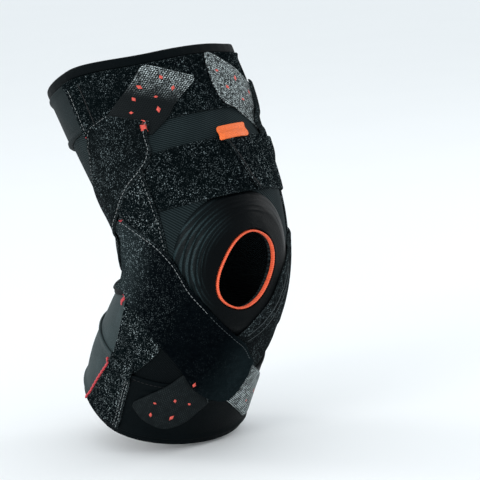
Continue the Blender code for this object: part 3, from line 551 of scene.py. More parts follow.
class Strap:
    # rows: angle and share of the lower edge, then of the upper edge, from root to free end
    def __init__(self, rows, roundStart=0.0, roundEnd=0.0):
        rows = np.array(rows, dtype=float)
        rows[:, 1], rows[:, 3] = heightOf(rows[:, 1]), heightOf(rows[:, 3])
        run = runOf(np.stack([(rows[:, 1] + rows[:, 3]) / 2, around(rows[:, 0] + rows[:, 2]) / 2], axis=1))
        self.table = [(run[k], *rows[k]) for k in range(len(rows))]
        self.length, self.roundStart, self.roundEnd = run[-1], roundStart, roundEnd

    def edges(self, along):
        return [smoothCurve(self.table, column, along) for column in (1, 2, 3, 4)]

    def wide(self, along):
        lowA, lowH, highA, highH = self.edges(along)
        return np.hypot(highH - lowH, around(highA - lowA))

    def pull(self, along):
        pull = np.zeros(np.shape(along))
        for distance, radius in ((along, self.roundStart), (self.length - along, self.roundEnd)):
            pull = np.maximum(pull, radius * (1 - dome(distance / max(radius, 1e-9))))
        return np.clip(pull / self.wide(along), 0.0, 0.45)

    def spot(self, along, across):  # across from 0 at the lower edge to 1
        lowA, lowH, highA, highH = self.edges(along)
        share = self.pull(along)
        t = share + np.asarray(across) * (1 - 2 * share)
        return lowA + t * (highA - lowA), lowH + t * (highH - lowH)

    def grid(self, step, rounding):
        along = stations(self.length, step, rounding)
        width = float(np.mean(self.wide(along)))
        u, v = np.meshgrid(along, stations(width, step, rounding) / width, indexing="ij")
        angle, height = self.spot(u, v)
        room = self.wide(u) * (1 - 2 * self.pull(u))
        edge = np.minimum(np.minimum(v, 1 - v) * room, np.minimum(u, self.length - u))
        return angle, height, np.stack([u, v * width, edge], axis=-1), width


straps = {}


def lay(node, strap, look, slot=None, wall=walls["strap"], step=0.0015, lip=0.0, groove=0.0,
        grooveAt=0.0022, uneven=0.00012, folds=(), crown=None, hem=None, part="sewn", cutWidth=None,
        bed=(), held="stretched"):
    # lay a strap on what is below it; lip and groove run along its edges, crown is extra height,
    # hem is a rolled edge: 0 lower or 1 upper, height, half width, distance in
    angle, height, cloth, width = strap.grid(step, wall * 0.9)
    across, edge = cloth[..., 1], cloth[..., 2]
    seat = stack.seat(*bed)
    rise = wall * rounded(edge / (wall * 0.9)) + lip * np.exp(-((edge - 0.001) / 0.0006) ** 2)
    rise = rise - groove * np.exp(-((edge - grooveAt) / 0.0005) ** 2)
    if hem is not None:
        away = (across if hem[0] == 0 else width - across) - hem[3]
        rise = rise + hem[1] * np.sqrt(np.clip(1 - (away / hem[2]) ** 2, 0.0, 1.0))
    inward = np.clip(edge / 0.006, 0.0, 1.0)
    rise = rise + inward * (waver(angle, height, uneven, len(node)) + foldHeight(angle, height, folds))
    if crown is not None:
        rise = rise + crown(across / width)
    base = stack.read(seat, angle, height) + gap
    over, under = legPoint(angle, height, base + rise), legPoint(angle, height, base)
    points, loop = np.stack([over, under]), edgeLoop(*angle.shape)
    edges = zip(loop.tolist(), np.roll(loop, -1).tolist())
    faces = outward(points, twoSided(gridFaces(*angle.shape), edges, angle.size))
    cloth = np.tile(cloth.reshape(-1, 3), (2, 1))
    piece = put(node + "_" + part, points, faces, look, node, cloth)
    stack.cover(angle.ravel()[loop], height.ravel()[loop],
                seat + gap + wall + foldHeight(stack.angle, stack.height, folds))
    straps.setdefault(node, strap)


threads = {"pale": [], "greyAndFoldHighlight": [], "dark": [], "coral": [], "crimson": []}


def capsule(start, end, radius, sides=6):
    # one thread between two points, rounded at both ends
    length = np.linalg.norm(end - start)
    way = (end - start) / max(length, 1e-9)
    side = np.cross(way, [0.0, 0.0, 1.0] if abs(way[2]) < 0.9 else [1.0, 0.0, 0.0])
    side = side / np.linalg.norm(side)
    turn = np.arange(sides) * math.tau / sides
    ring = np.cos(turn)[:, None] * side + np.sin(turn)[:, None] * np.cross(way, side)
    points, faces = [start - way * radius * 0.6], []
    for along, size in ((0.0, 0.75), (0.2, 1.0), (0.8, 1.0), (1.0, 0.75)):
        points.extend(start + way * along * length + ring * radius * size)
    points.append(end + way * radius * 0.6)
    last = len(points) - 1
    for j in range(sides):
        k = (j + 1) % sides
        faces.append((0, 1 + k, 1 + j))
        faces += [(a + j, a + k, a + sides + k, a + sides + j) for a in (1, 1 + sides, 1 + 2 * sides)]
        faces.append((last, last - sides + j, last - sides + k))
    return np.array(points), faces


def topOf(angle, height, lift=0.0):
    return legPoint(angle, height, stack.read(stack.top, angle, height) + lift)


def sew(colour, angles, heights, stitch=0.0022, space=0.0012, radius=0.00028):
    # running stitch along a path on top of what is laid so far
    points = topOf(angles, heights)
    run, place = runOf(points), 0.0006
    while place + stitch < run[-1]:
        ends = np.stack([np.interp((place, place + stitch), run, line) for line in points.T], axis=1)
        threads[colour].append(capsule(*ends, radius))
        place += stitch + space


def sewAlong(node, colour, inset, start=0.0, end=1.0, **how):
    # at a distance in from the strap's lower (+) or upper (-) edge
    along = np.linspace(start, end, 160) * straps[node].length
    across = np.abs(inset) / straps[node].wide(along)
    sew(colour, *straps[node].spot(along, across if inset > 0 else 1 - across), **how)


def sewAcross(node, colour, along, start=0.06, end=0.94, **how):
    whole = np.full(40, along * straps[node].length)
    sew(colour, *straps[node].spot(whole, np.linspace(start, end, 40)), **how)


def barTack(colour, points, width=0.003, pitch=0.0007, radius=0.00032):
    # dense zigzag of thread along a short path given as angle and share
    p = np.array(points, dtype=float)
    line = np.stack([around(p[:, 0]), heightOf(p[:, 1])], axis=1)
    run = runOf(line)
    count = int(run[-1] / pitch) * 2
    x, y = (np.interp(np.linspace(0, run[-1], count), run, line[:, k]) for k in (0, 1))
    dx, dy = np.gradient(x), np.gradient(y)
    side = np.where(np.arange(count) % 2 == 0, 1.0, -1.0) * width / 2 / np.hypot(dx, dy)
    spots = topOf(np.degrees((x - dy * side) / halfKnee), y + dx * side, 0.0002)
    threads[colour] += [capsule(spots[k], spots[k + 1], radius, 5) for k in range(count - 1)]


def diamonds(node, marks, unit=0.00062):
    for along, across, long, wide, turn in marks:
        angle, height = straps[node].spot(along * straps[node].length, across)
        c, s = math.cos(math.radians(turn)) * unit, math.sin(math.radians(turn)) * unit
        layers = []
        for lift in (0.00012, -0.0003):
            for u, v in ((long, 0.0), (0.0, wide), (-long, 0.0), (0.0, -wide)):
                sideways = angle + np.degrees((u * c - v * s) / halfKnee)
                layers.append(topOf(sideways, height + u * s + v * c, lift))
        faces = [(3, 2, 1, 0), (4, 5, 6, 7)] + [(k, (k + 1) % 4, (k + 1) % 4 + 4, k + 4) for k in range(4)]
        threads["coral"].append((np.array(layers), faces))


def joinThreads(colour, look):
    points, faces, start = [], [], 0
    for p, f in threads[colour]:
        points.append(p)
        faces.extend(tuple(start + v for v in face) for face in f)
        start += len(p)
    put("thread_" + colour, np.concatenate(points), faces, look)


sleeveSet = {"around": 200, "rows": 150, "holeMargin": 0.0012,
             "creases": [([(140, 0.1), (180, 0.04), (220, 0.1)], 0.0035, 0.0012),
                         ([(146, -0.07), (180, -0.12), (214, -0.07)], 0.0032, 0.0011),
                         ([(150, 0.22), (182, 0.19), (210, 0.23)], 0.003, 0.0008)]}
opening = {"x": -0.0064, "z": -0.0015, "width": 0.0438, "height": 0.058, "tilt": 29.0, "square": 2.3}


def sleeveRelief(angle, height):
    behind = np.where(angle < 0, angle + 360.0, angle)
    return foldHeight(behind, height, sleeveSet["creases"]) + waver(angle, height, 0.00015, 7)


def ellipseReach(x, z, f, grown=0.0):  # 1 on the outline of a rounded form, more outside
    c, s, power = math.cos(math.radians(f["tilt"])), math.sin(math.radians(f["tilt"])), opening["square"]
    across = np.abs((x - f["x"]) * c - (z - f["z"]) * s) / (f["width"] / 2 + grown)
    along = np.abs((x - f["x"]) * s + (z - f["z"]) * c) / (f["height"] / 2 + grown)
    return (across ** power + along ** power) ** (1 / power)


def makeSleeve():
    s = sleeveSet
    angle = np.arange(s["around"]) * 360.0 / s["around"] - 180.0
    t = np.linspace(0, 1, s["rows"])[:, None]
    height = bottomHem(angle) * (1 - t) + topHem(angle) * t
    angle = np.broadcast_to(angle, height.shape)
    relief = sleeveRelief(angle, height)
    over, under = legPoint(angle, height, walls["sleeve"] + relief), legPoint(angle, height, relief)
    x, z = (legPoint(angle, height, walls["sleeve"])[..., k] for k in (0, 2))
    out = np.where(np.abs(angle) < 90, ellipseReach(x, z, opening, s["holeMargin"]), 9.0).ravel()
    # corners just inside the hole move out to its rim, and faces that stay inside go
    kept = [f for f in gridFaces(*height.shape, True) if max(out[list(f)]) >= 1.0]
    count = height.size
    used = np.zeros(count, dtype=bool)
    used[np.array(kept).ravel()] = True
    rim = used & (out < 1.0)
    points = np.stack([over.reshape(-1, 3), under.reshape(-1, 3)])
    for k, middle in ((0, opening["x"]), (2, opening["z"])):
        points[:, rim, k] = middle + (points[:, rim, k] - middle) / out[rim]
    edges = {(a, b): True for f in kept for a, b in zip(f, f[1:] + f[:1])}
    faces = outward(points, twoSided(kept, [(a, b) for a, b in edges if (b, a) not in edges], count))
    both = np.tile(used, 2)
    order = (np.cumsum(both) - 1).tolist()
    faces = [tuple(order[v] for v in f) for f in faces]
    cloth = np.stack([around(angle), height, np.full(height.shape, 0.02)], axis=-1).reshape(-1, 3)
    girth = math.tau * halfKnee
    piece = put("sleeve_sewn", points.reshape(-1, 3)[both], faces, "knit", "sleeve",
                np.tile(cloth, (2, 1))[both], girth)


def ringFaces(rings, count):
    return [(i * count + j, i * count + (j + 1) % count, (i + 1) % rings * count + (j + 1) % count,
             (i + 1) % rings * count + j) for i in range(rings) for j in range(count)]


def ringBody(node, loops, look, cloth):
    points = np.stack(loops)
    faces = outward(points, ringFaces(*points.shape[:2]))
    return put(node + "_sewn", points, faces, look, node, np.concatenate(cloth))


bindingForm = {"count": 260, "fold": 0.0019, "pucker": 0.00018, "puckers": 46, "edge": 0.0012}


def makeBinding(node, hem, rise, height):
    f, wall = bindingForm, walls["binding"]
    angle = np.arange(f["count"]) * 360.0 / f["count"] - 180.0
    edge, low, outer, inner = hem(angle), -f["edge"], walls["sleeve"] + snug, -snug
    pucker = f["pucker"] * (0.5 + 0.5 * np.sin(np.radians(angle) * f["puckers"]))
    pucker = pucker + waver(angle, edge, 0.0002, 3)
    middle, half = (outer + inner) / 2, (outer - inner) / 2 + wall
    # offset from the form, height from the hem, share of the pucker
    profile = [(outer + wall * rounded(t / 0.3), -height + t * 0.004, t) for t in (0.0, 0.12, 0.3)]
    profile += [(outer + wall, *spot) for spot in ((-height * 0.6, 1.0), (-height * 0.3, 1.0), (low, 0.5))]
    for turn in np.pi * np.arange(1, 10) / 10:
        profile.append((middle + half * np.cos(turn), -0.0008 + f["fold"] * np.sin(turn), 0.3))
    profile += [(inner - wall, low, 0.3), (inner - wall, -height * 0.5, 0.0), (inner - wall, -height, 0.0),
                (inner, -height, 0.0), (inner, -0.0005, 0.0), (outer, -0.0005, 0.0), (outer, -height, 0.0)]
    run, whole = runOf(np.array(profile)[:, :2]), np.ones(f["count"])
    loops = [legPoint(angle, edge + rise * lift, offset + pucker * share) for offset, lift, share in profile]
    cloth = [np.stack([np.radians(angle) * 0.065, whole * way, whole * 0.003], axis=-1) for way in run]
    piece = ringBody(node, loops, "binding", cloth)
    rows = stack.height * rise > (hem(stack.angle) * rise - height)
    stack.top = np.where(rows, np.maximum(stack.top, outer + wall), stack.top)


pipingForm = {"wall": 0.0014, "lip": 0.0004, "deep": 0.004, "count": 384, "ribs": 96, "ribDepth": 0.0002}
padForm = {"width": 0.098, "height": 0.112, "x": -0.007, "z": 0.001, "tilt": 0.0, "edge": 0.0014,
           "crown": 0.0032, "swell": 0.45, "count": 240, "rings": 34}
padRidges = {"places": (0.52, 0.66, 0.79, 0.9), "width": 0.028, "height": 0.0013, "from": 62.0, "to": 225.0}
fillSet = {"count": 120, "rings": 13, "frames": 14, "force": 2.4, "most": 0.0008, "slack": -0.02, "calm": 12}


def holeOutline(extra, count):
    turn, a, power = math.radians(opening["tilt"]), np.arange(count) * math.tau / count, opening["square"]
    out = (np.abs(np.cos(a)) ** power + np.abs(np.sin(a)) ** power) ** (-1 / power)
    across = (opening["width"] / 2 + extra) * np.cos(a) * out
    along = (opening["height"] / 2 + extra) * np.sin(a) * out
    return (opening["x"] + across * math.cos(turn) + along * math.sin(turn),
            opening["z"] - across * math.sin(turn) + along * math.cos(turn))


def padLoop(share, count):  # points at a share of the way from the opening to the outline, and their turn
    innerX, innerZ = holeOutline(pipingForm["wall"] + snug, count)
    away = np.arctan2(innerZ - opening["z"], innerX - opening["x"])
    near, far = np.zeros(count), np.full(count, padForm["height"])
    for _ in range(40):
        middle = (near + far) / 2
        x, z = opening["x"] + middle * np.cos(away), opening["z"] + middle * np.sin(away)
        inside = ellipseReach(x, z, padForm) < 1
        near, far = np.where(inside, middle, near), np.where(inside, far, middle)
    outerX, outerZ = opening["x"] + near * np.cos(away), opening["z"] + near * np.sin(away)
    return innerX + share * (outerX - innerX), innerZ + share * (outerZ - innerZ), np.degrees(away) % 360.0


def padWall(t, away):  # t from 0 at the opening to 1 at the pad's outline, away: direction in degrees
    f, r = padForm, padRidges
    wall = f["edge"] + f["crown"] * ease((1 - t) / f["swell"])
    wall = wall * rounded(t / 0.05) * (0.4 + 0.6 * dome((1 - t) / 0.03))
    side = np.clip((away - r["from"]) / 35.0, 0, 1) * np.clip((r["to"] - away) / 35.0, 0, 1)
    for place in r["places"]:
        wall = wall + r["height"] * side * np.exp(-((t - place) / r["width"]) ** 2)
    return wall


def fillPad():
    # the top of the pad swells between its sewn edges; gives how far, over (ring, turn)
    f, loops = fillSet, []
    shares = np.linspace(0, 1, f["rings"])
    for top, share in [(0.0, share) for share in shares] + [(1.0, share) for share in shares[::-1]]:
        x, z, away = padLoop(share, f["count"])
        offset = walls["sleeve"] + snug + top * padWall(np.full(x.shape, max(share, 0.06)), away)
        loops.append(legPoint(*frontSpot(x, z, offset), offset))
    points = np.concatenate(loops)
    mesh = newMesh("padTrial", points, outward(points, ringFaces(len(loops), f["count"])))
    trial = addObject("padTrial", mesh)
    held = trial.vertex_groups.new(name="held")
    half = f["rings"] * f["count"]
    held.add([*range(half + f["count"]), *range(half * 2 - f["count"], half * 2)], 1.0, "REPLACE")
    cloth = trial.modifiers.new("fill", "CLOTH")
    for key, value in (("vertex_group_mass", "held"), ("quality", 6), ("mass", 0.05), ("use_pressure", True),
                       ("uniform_pressure_force", f["force"]), ("shrink_min", f["slack"]),
                       ("bending_stiffness", 0.3)):
        setattr(cloth.settings, key, value)
    cloth.settings.effector_weights.gravity = 0.0
    cloth.collision_settings.use_collision = False
    cloth.point_cache.frame_start, cloth.point_cache.frame_end = 1, f["frames"]
    for number in range(1, f["frames"] + 1):
        bpy.context.scene.frame_set(number)
    solved = trial.evaluated_get(bpy.context.evaluated_depsgraph_get()).to_mesh()
    spots = np.zeros(len(solved.vertices) * 3, dtype=np.float32)
    solved.vertices.foreach_get("co", spots)
    moved = spots.reshape(-1, 3) - points
    lean = points[half:] - points[:half].reshape(f["rings"], f["count"], 3)[::-1].reshape(-1, 3)
    lean = lean / np.maximum(np.linalg.norm(lean, axis=1), 1e-9)[:, None]
    rise = (moved[half:] * lean).sum(axis=1).reshape(f["rings"], f["count"])[::-1]
    bpy.data.objects.remove(trial)
    bpy.data.meshes.remove(mesh)
    bpy.context.scene.frame_set(1)
    rise = np.clip(rise, -0.0003, f["most"])
    for _ in range(f["calm"]):  # the knit evens out the small pleats
        rise = (np.roll(rise, 1, axis=1) + 2 * rise + np.roll(rise, -1, axis=1)) / 4
    print("pad filled: swell up to", round(float(rise.max()) * 1000, 2), "mm")
    return rise


def swellAt(swell, t, away):  # read the swell at shares and directions
    if swell is None:
        return 0.0
    places = padLoop(0.0, fillSet["count"])[2]
    order = np.argsort(places)
    turns = np.concatenate([places[order] + turn for turn in (-360.0, 0.0, 360.0)])
    ring = np.clip(t, 0, 1) * (fillSet["rings"] - 1)
    low = np.clip(np.floor(ring).astype(int), 0, fillSet["rings"] - 2)
    rows = np.stack([np.interp(away, turns, np.tile(row[order], 3)) for row in swell])
    below, above = (np.take_along_axis(rows, low[None] + k, axis=0)[0] for k in (0, 1))
    return below + (above - below) * (ring - low)


def makePad():
    f, seat = padForm, walls["sleeve"] + snug
    swell = fillPad()
    shares = np.concatenate([[0, 0.008, 0.02, 0.035], np.linspace(0.05, 0.97, f["rings"]), [0.98, 0.99, 1.0]])
    under, over, cloth = [], [], []
    for share in shares:
        x, z, away = padLoop(share, f["count"])
        whole = np.full(x.shape, share)
        offset = seat + padWall(whole, away) + swellAt(swell, whole, away)
        under.append(legPoint(*frontSpot(x, z, seat), seat))
        angle, height = frontSpot(x, z, offset)
        over.append(legPoint(angle, height, offset + waver(angle, height, 0.0001, 5)))
        reach = np.hypot(x - opening["x"], z - opening["z"])
        cloth.append(np.stack([np.radians(away) * 0.035, reach, (1 - whole) * 0.02], axis=-1))
    piece = ringBody("patella_pad", under + over[::-1], "padJersey", cloth + cloth[::-1])
    where = legPoint(stack.angle, stack.height, seat)
    x, z = where[..., 0], where[..., 2]
    pad, hole = ellipseReach(x, z, f), ellipseReach(x, z, opening)
    share = np.clip((hole - 1) / np.maximum(hole - pad, 1e-6), 0.0, 1.0)
    turn = np.degrees(np.arctan2(z - opening["z"], x - opening["x"])) % 360.0
    raised = seat + padWall(np.maximum(share, 0.06), turn)
    if swell is not None:
        raised = raised + np.maximum(swellAt(swell, share.ravel(), turn.ravel()), 0.0).reshape(x.shape)
    covered = (pad < 1) & (np.abs(stack.angle) < 90)
    stack.top = np.where(covered, np.maximum(stack.top, raised), stack.top)
    print("pad made")


def makePipingBand():
    f = pipingForm
    top = walls["sleeve"] + snug + padForm["edge"] + padForm["crown"] + f["lip"]
    low, turn = top - f["deep"], np.arange(f["count"]) * math.tau / f["count"]
    sides = (low + 0.0004, low + 0.001, low + 0.0018)
    profile = [(0.0, offset) for offset in (*sides, top - 0.0016)]  # margin from the rim, offset
    for bend in np.pi * np.arange(9) / 8:
        profile.append((f["wall"] * (0.5 - 0.5 * np.cos(bend)), top - 0.0009 + 0.0009 * np.sin(bend)))
    profile += [(f["wall"], offset) for offset in sides[::-1]] + [(f["wall"] * 0.5, low)]
    loops, cloth, run, whole = [], [], runOf(np.array(profile)), np.ones(f["count"])
    for k, (margin, offset) in enumerate(profile):
        out = offset + f["ribDepth"] * np.cos(turn * f["ribs"]) * (3 <= k <= 13)
        loops.append(legPoint(*frontSpot(*holeOutline(margin, f["count"]), out), out))
        cloth.append(np.stack([turn * 0.0255, whole * run[k], whole * 0.001], axis=-1))
    ringBody("patella_piping", loops, "pipingBand", cloth)
    print("piping made")


stack = Stack()
makeSleeve()
makeBinding("top_binding", topHem, 1.0, hems["topBinding"])
makeBinding("bottom_binding", bottomHem, -1.0, hems["bottomBinding"])
makePad()
makePipingBand()

bands = {"thighWidth": 0.045, "thighDrop": 0.006, "kneeWidth": 0.04, "kneeHeight": 0.037,
         "calfWidth": 0.057, "calfPanel": 0.058, "calfDip": 0.1, "calfBack": 0.07, "calfBackDip": 0.45,
         "overlap": 9.0, "thighFront": 93.0, "calfFront": 74.0, "lowReach": 38.0, "highReach": 21.5,
         "closeLow": -11.0, "closeHigh": 3.0, "innerEnd": -96.0, "outerEnd": 100.0}


def level(height):
    return lambda angle: height


def bandTop(angle):
    return topHem(angle) - hems["topBinding"] - gap


def thighBackLow(angle):
    return bandTop(angle) - bands["thighWidth"] + bands["thighDrop"]


def calfLow(angle):
    return bottomHem(angle) + hems["bottomBinding"] + gap


def calfHigh(angle):
    return calfLow(angle) + bands["calfWidth"]


def calfFrontHigh(angle):
    return calfLow(angle) + bands["calfWidth"] * (1 - bands["calfDip"] * np.sin(np.radians(angle)))


def calfPanelHigh(angle):
    return calfLow(angle) + bands["calfPanel"]


def backLow(angle):
    return calfHigh(angle) - walls["strap"]


def backHigh(angle):
    behind = np.radians(np.clip(angle - 90.0, 0.0, 180.0))
    return backLow(angle) + bands["calfBack"] * (1.0 - bands["calfBackDip"] * np.sin(behind))


thighFrontLow = level(leg["thigh"] - hems["topBinding"] - gap - bands["thighWidth"])
kneeLow, kneeHigh = level(bands["kneeHeight"]), level(bands["kneeHeight"] + bands["kneeWidth"])


def band(start, end, low, high, endHigh=None):
    t = np.linspace(0, 1, 15)
    lowAngle, highAngle = (start + t * (last - start) for last in (end, end if endHigh is None else endHigh))
    return Strap([(a, shareOf(low(a)), b, shareOf(high(b))) for a, b in zip(lowAngle, highAngle)])


def behindBand(start, low, high):
    return band(start, 360.0 - start, low, high)


tape = {"from": 96.0, "deep": 0.0074, "over": 0.0008, "cut": 0.0101, "roll": (1, 0.0018, 0.0021, 0.0022)}
sidePanel = {"width": 0.044, "angle": 78.0, "low": -0.6, "high": 0.56, "corner": 0.006,
             "splintWidth": 0.3, "splintRise": 0.001, "cutHigh": 0.2, "cutAngle": 16.0}
back = behindBand(sidePanel["angle"] + bands["overlap"], backLow, backHigh)
lay("calf_back_panel", back, "elastic", wall=walls["elastic"], groove=0.0003, grooveAt=0.0056, uneven=0.0003)
back = behindBand(tape["from"], lambda a: backHigh(a) - tape["deep"], lambda a: backHigh(a) + tape["over"])
lay("calf_back_panel", back, "binding", "elastic", walls["elastic"], part="tape", cutWidth=tape["cut"],
    bed=(0.0004, 0.0006), held="folded", hem=tape["roll"])
back = behindBand(bands["calfFront"] + 2 * bands["overlap"], calfLow, calfHigh)
lay("calf_strap_back", back, "elastic", wall=walls["elastic"], lip=0.0002, groove=0.0002, uneven=0.0002)
back = behindBand(bands["thighFront"] - bands["overlap"], thighBackLow, bandTop)
lay("thigh_strap_back", back, "darkElastic", "elastic", walls["elastic"], groove=0.0004, grooveAt=0.0036,
    uneven=0.0002, hem=(0, 0.0016, 0.0018, 0.0018))
outer = band(bands["outerEnd"], bands["closeLow"] - bands["overlap"], kneeLow, kneeHigh,
             bands["closeHigh"] - bands["overlap"])
lay("knee_strap_outer", outer, "dimVelour", "velour", uneven=0.0002)


def splint(across):
    return sidePanel["splintRise"] * ease((1 - np.abs(across - 0.5) / sidePanel["splintWidth"]) * 3)


def makeSidePanel(node, side):
    s, rows = sidePanel, []
    half = math.degrees(s["width"] / leg["width"])
    for share in np.linspace(s["low"], s["high"], 17):  # the front lower corner is cut on a slant
        cut = max(1 - (share - s["low"]) / s["cutHigh"], 0.0)
        first, last = s["angle"] - half + cut * s["cutAngle"], s["angle"] + half
        rows.append((side * first, share, side * last, share))
    lay(node, Strap(rows, s["corner"], s["corner"]), "velour", wall=walls["panel"], groove=0.0005,
        grooveAt=0.003, crown=splint)


makeSidePanel("outer_side_panel", 1.0)
makeSidePanel("inner_side_panel", -1.0)
lay("thigh_strap_front", band(bands["thighFront"], -bands["thighFront"], thighFrontLow, bandTop),
    "dimVelour", "velour", uneven=0.0002)
sewAlong("outer_side_panel", "pale", 0.0024, 0.5, 0.98, stitch=0.0016, space=0.0018, radius=0.0002)
sewAcross("thigh_strap_front", "pale", 0.018, radius=0.0002)
sewAcross("thigh_strap_front", "dark", 0.075, stitch=0.004, space=0.0004, radius=0.0005)
front = bands["calfFront"] + bands["overlap"] / 2
lay("calf_strap_front", band(front, -front, calfLow, calfFrontHigh), "binding",
    lip=0.0003, uneven=0.0002,
    folds=[([(70, -0.655), (50, -0.622), (30, -0.632), (8, -0.7)], 0.0011, 0.0011),
           ([(68, -0.692), (46, -0.664), (24, -0.69), (10, -0.745)], 0.0012, 0.001)])
sewAlong("calf_strap_front", "dark", -0.0035)
for node, side in (("calf_outer_panel", 1.0), ("calf_inner_panel", -1.0)):
    front = side * bands["calfFront"]
    low, high = (front + side * bands[reach] for reach in ("lowReach", "highReach"))
    lay(node, band(front, low, calfLow, calfPanelHigh, high), "velour", groove=0.0003)
for along in (0.06, 0.15):
    sewAcross("calf_outer_panel", "pale", along, 0.02, 0.8, stitch=0.0018, space=0.0014, radius=0.0002)

# strap outlines: angle and share of the lower edge, then of the upper edge
upperOuterWing = (
    (138, -0.14, 150, 0.1), (126, -0.02, 136, 0.25), (115, 0.07, 122, 0.4),
    (105, 0.14, 110, 0.51), (95, 0.232, 101, 0.59), (84, 0.31, 95, 0.655),
    (70, 0.385, 90, 0.7), (57, 0.44, 86, 0.732), (49, 0.51, 81, 0.75),
    (47, 0.6, 74, 0.758), (42, 0.665, 66, 0.762))
upperOuterTab = ((44, 0.6, 72, 0.725), (32, 0.655, 62, 0.78), (24, 0.72, 51, 0.835),
                 (15, 0.775, 42, 0.89), (5.5, 0.832, 34, 0.955))
lowerOuterWing = (
    (138, -0.205, 126, 0.02), (123, -0.19, 114, 0.12), (109, -0.155, 101, 0.21),
    (97, -0.13, 88, 0.265), (90, -0.185, 77, 0.195), (80, -0.225, 65, 0.125),
    (69, -0.284, 54, 0.045), (59, -0.343, 45, -0.04), (48, -0.406, 34, -0.11),
    (37, -0.49, 23, -0.175), (25, -0.595, 11, -0.24), (10, -0.66, -1, -0.31),
    (-4, -0.7, -15, -0.44))
lowerOuterTab = ((7, -0.64, -9, -0.425), (-8, -0.74, -20, -0.5), (-22, -0.84, -34, -0.59),
                 (-36, -0.93, -48, -0.68), (-46, -0.95, -57, -0.76))
upperInnerWing = (
    (-138, -0.14, -150, 0.1), (-126, -0.02, -136, 0.25), (-115, 0.07, -122, 0.4),
    (-105, 0.14, -112, 0.51), (-95, 0.235, -103, 0.59), (-84, 0.31, -95, 0.665),
    (-70, 0.385, -86, 0.73), (-57, 0.44, -74, 0.775), (-45, 0.495, -60, 0.8),
    (-33, 0.56, -45, 0.81))
upperInnerTab = ((-38, 0.54, -52, 0.79), (-28, 0.585, -41, 0.81), (-18, 0.635, -30, 0.865),
                 (-7, 0.685, -17, 0.915), (-3, 0.775, -4, 0.965))
lowerInnerWing = (
    (-136, -0.2, -136, 0.03), (-122, -0.185, -120, 0.07), (-108, -0.17, -102, 0.09),
    (-93, -0.18, -84, 0.1), (-80, -0.225, -68, 0.09), (-68, -0.29, -52, 0.06),
    (-55, -0.36, -37, 0.03), (-41, -0.435, -24, -0.03), (-27, -0.51, -14, -0.115),
    (-12, -0.585, -2, -0.185), (4, -0.65, 9, -0.265), (14, -0.68, 26, -0.4))
lowerInnerTab = ((8, -0.64, 22, -0.365), (15, -0.73, 32, -0.46), (24, -0.83, 42, -0.56),
                 (38, -0.885, 55, -0.66), (56, -0.85, 69, -0.77))
corners = {"root": 0.006, "tip": 0.005}


def layTab(node, rows, look):
    lay(node, Strap(rows, 0.0, corners["tip"]), look, "mesh", walls["tab"])


def layWing(node, rows, look="wingVelour", lip=0.0003, **how):
    lay(node, Strap(rows, corners["root"]), look, "wing", lip=lip, **how)


layTab("upper_inner_tab", upperInnerTab, "meshBright")
layWing("upper_inner_wing", upperInnerWing, lip=0.0002)
inner = band(bands["innerEnd"], bands["closeLow"], kneeLow, kneeHigh, bands["closeHigh"])
lay("knee_strap_inner", inner, "velour", uneven=0.0002)
sewAcross("knee_strap_inner", "dark", 0.988, 0.02, 0.98, stitch=0.004, space=0.0004, radius=0.0005)
layTab("lower_inner_tab", lowerInnerTab, "meshDark")
bendLines = [[(-32, -0.01), (-27, -0.07), (-20, -0.14), (-9, -0.21), (3, -0.27)],
             [(-37, -0.04), (-32, -0.11), (-24, -0.18), (-13, -0.25), (0, -0.31)]]
layWing("lower_inner_wing", lowerInnerWing, folds=[(line, 0.0014, 0.0008) for line in bendLines])
# painted highlight: grey lines drawn as thread along the bend lines stand for light on the folds
for line in bendLines:
    t = np.linspace(0, len(line) - 1, 60)
    angle, share = (np.interp(t, range(len(line)), [spot[k] for spot in line]) for k in (0, 1))
    sew("greyAndFoldHighlight", angle, heightOf(share), stitch=0.005, space=0.0002, radius=0.0003)
layTab("lower_outer_tab", lowerOuterTab, "meshMottled")
layWing("lower_outer_wing", lowerOuterWing, "wingPaintedLight")
sewAlong("lower_outer_wing", "pale", -0.0024, 0.25, 0.66, radius=0.00024)
sewAlong("lower_outer_wing", "greyAndFoldHighlight", -0.0024, 0.67, 0.97, radius=0.00022)
layTab("upper_outer_tab", upperOuterTab, "meshFading")
layWing("upper_outer_wing", upperOuterWing)
sewAlong("upper_outer_wing", "pale", 0.0024, 0.35, radius=0.00024)
sewAlong("upper_outer_wing", "pale", -0.0022, 0.45, stitch=0.0016, space=0.0018, radius=0.00018)
# small printed diamonds: share along and across the tab, length, width, turn in degrees
tabMarks = {
    "upper_outer_tab": ((0.16, 0.3, 3.6, 2.2, 60), (0.27, 0.62, 2.6, 1.8, 20), (0.38, 0.22, 4.4, 2.4, 100),
                        (0.47, 0.74, 3.2, 2.4, 70), (0.56, 0.4, 2.4, 1.6, 10), (0.66, 0.8, 4.0, 2.4, 50),
                        (0.74, 0.24, 3.4, 2.0, 120), (0.86, 0.56, 3.0, 2.2, 80)),
    "upper_inner_tab": ((0.22, 0.66, 3.2, 2.0, 80), (0.4, 0.3, 2.6, 1.8, 30), (0.52, 0.7, 4.2, 2.4, 110),
                        (0.68, 0.38, 3.2, 2.2, 60), (0.84, 0.62, 2.6, 1.8, 20)),
    "lower_inner_tab": ((0.24, 0.7, 4.0, 2.4, 100), (0.36, 0.36, 2.8, 1.8, 40), (0.5, 0.62, 3.2, 2.0, 70),
                        (0.6, 0.26, 4.6, 2.6, 120), (0.72, 0.74, 2.6, 1.8, 10), (0.82, 0.44, 3.6, 2.2, 80)),
    "lower_outer_tab": ((0.62, 0.3, 2.6, 1.8, 50), (0.78, 0.6, 3.0, 2.0, 90)),
}
for node, marks in tabMarks.items():
    diamonds(node, marks)
barTack("crimson", [(91, 0.715), (90, 0.7)])
barTack("coral", [(46.5, 0.655), (47, 0.625)], 0.004)
barTack("crimson", [(86, 0.275), (87, 0.255)])
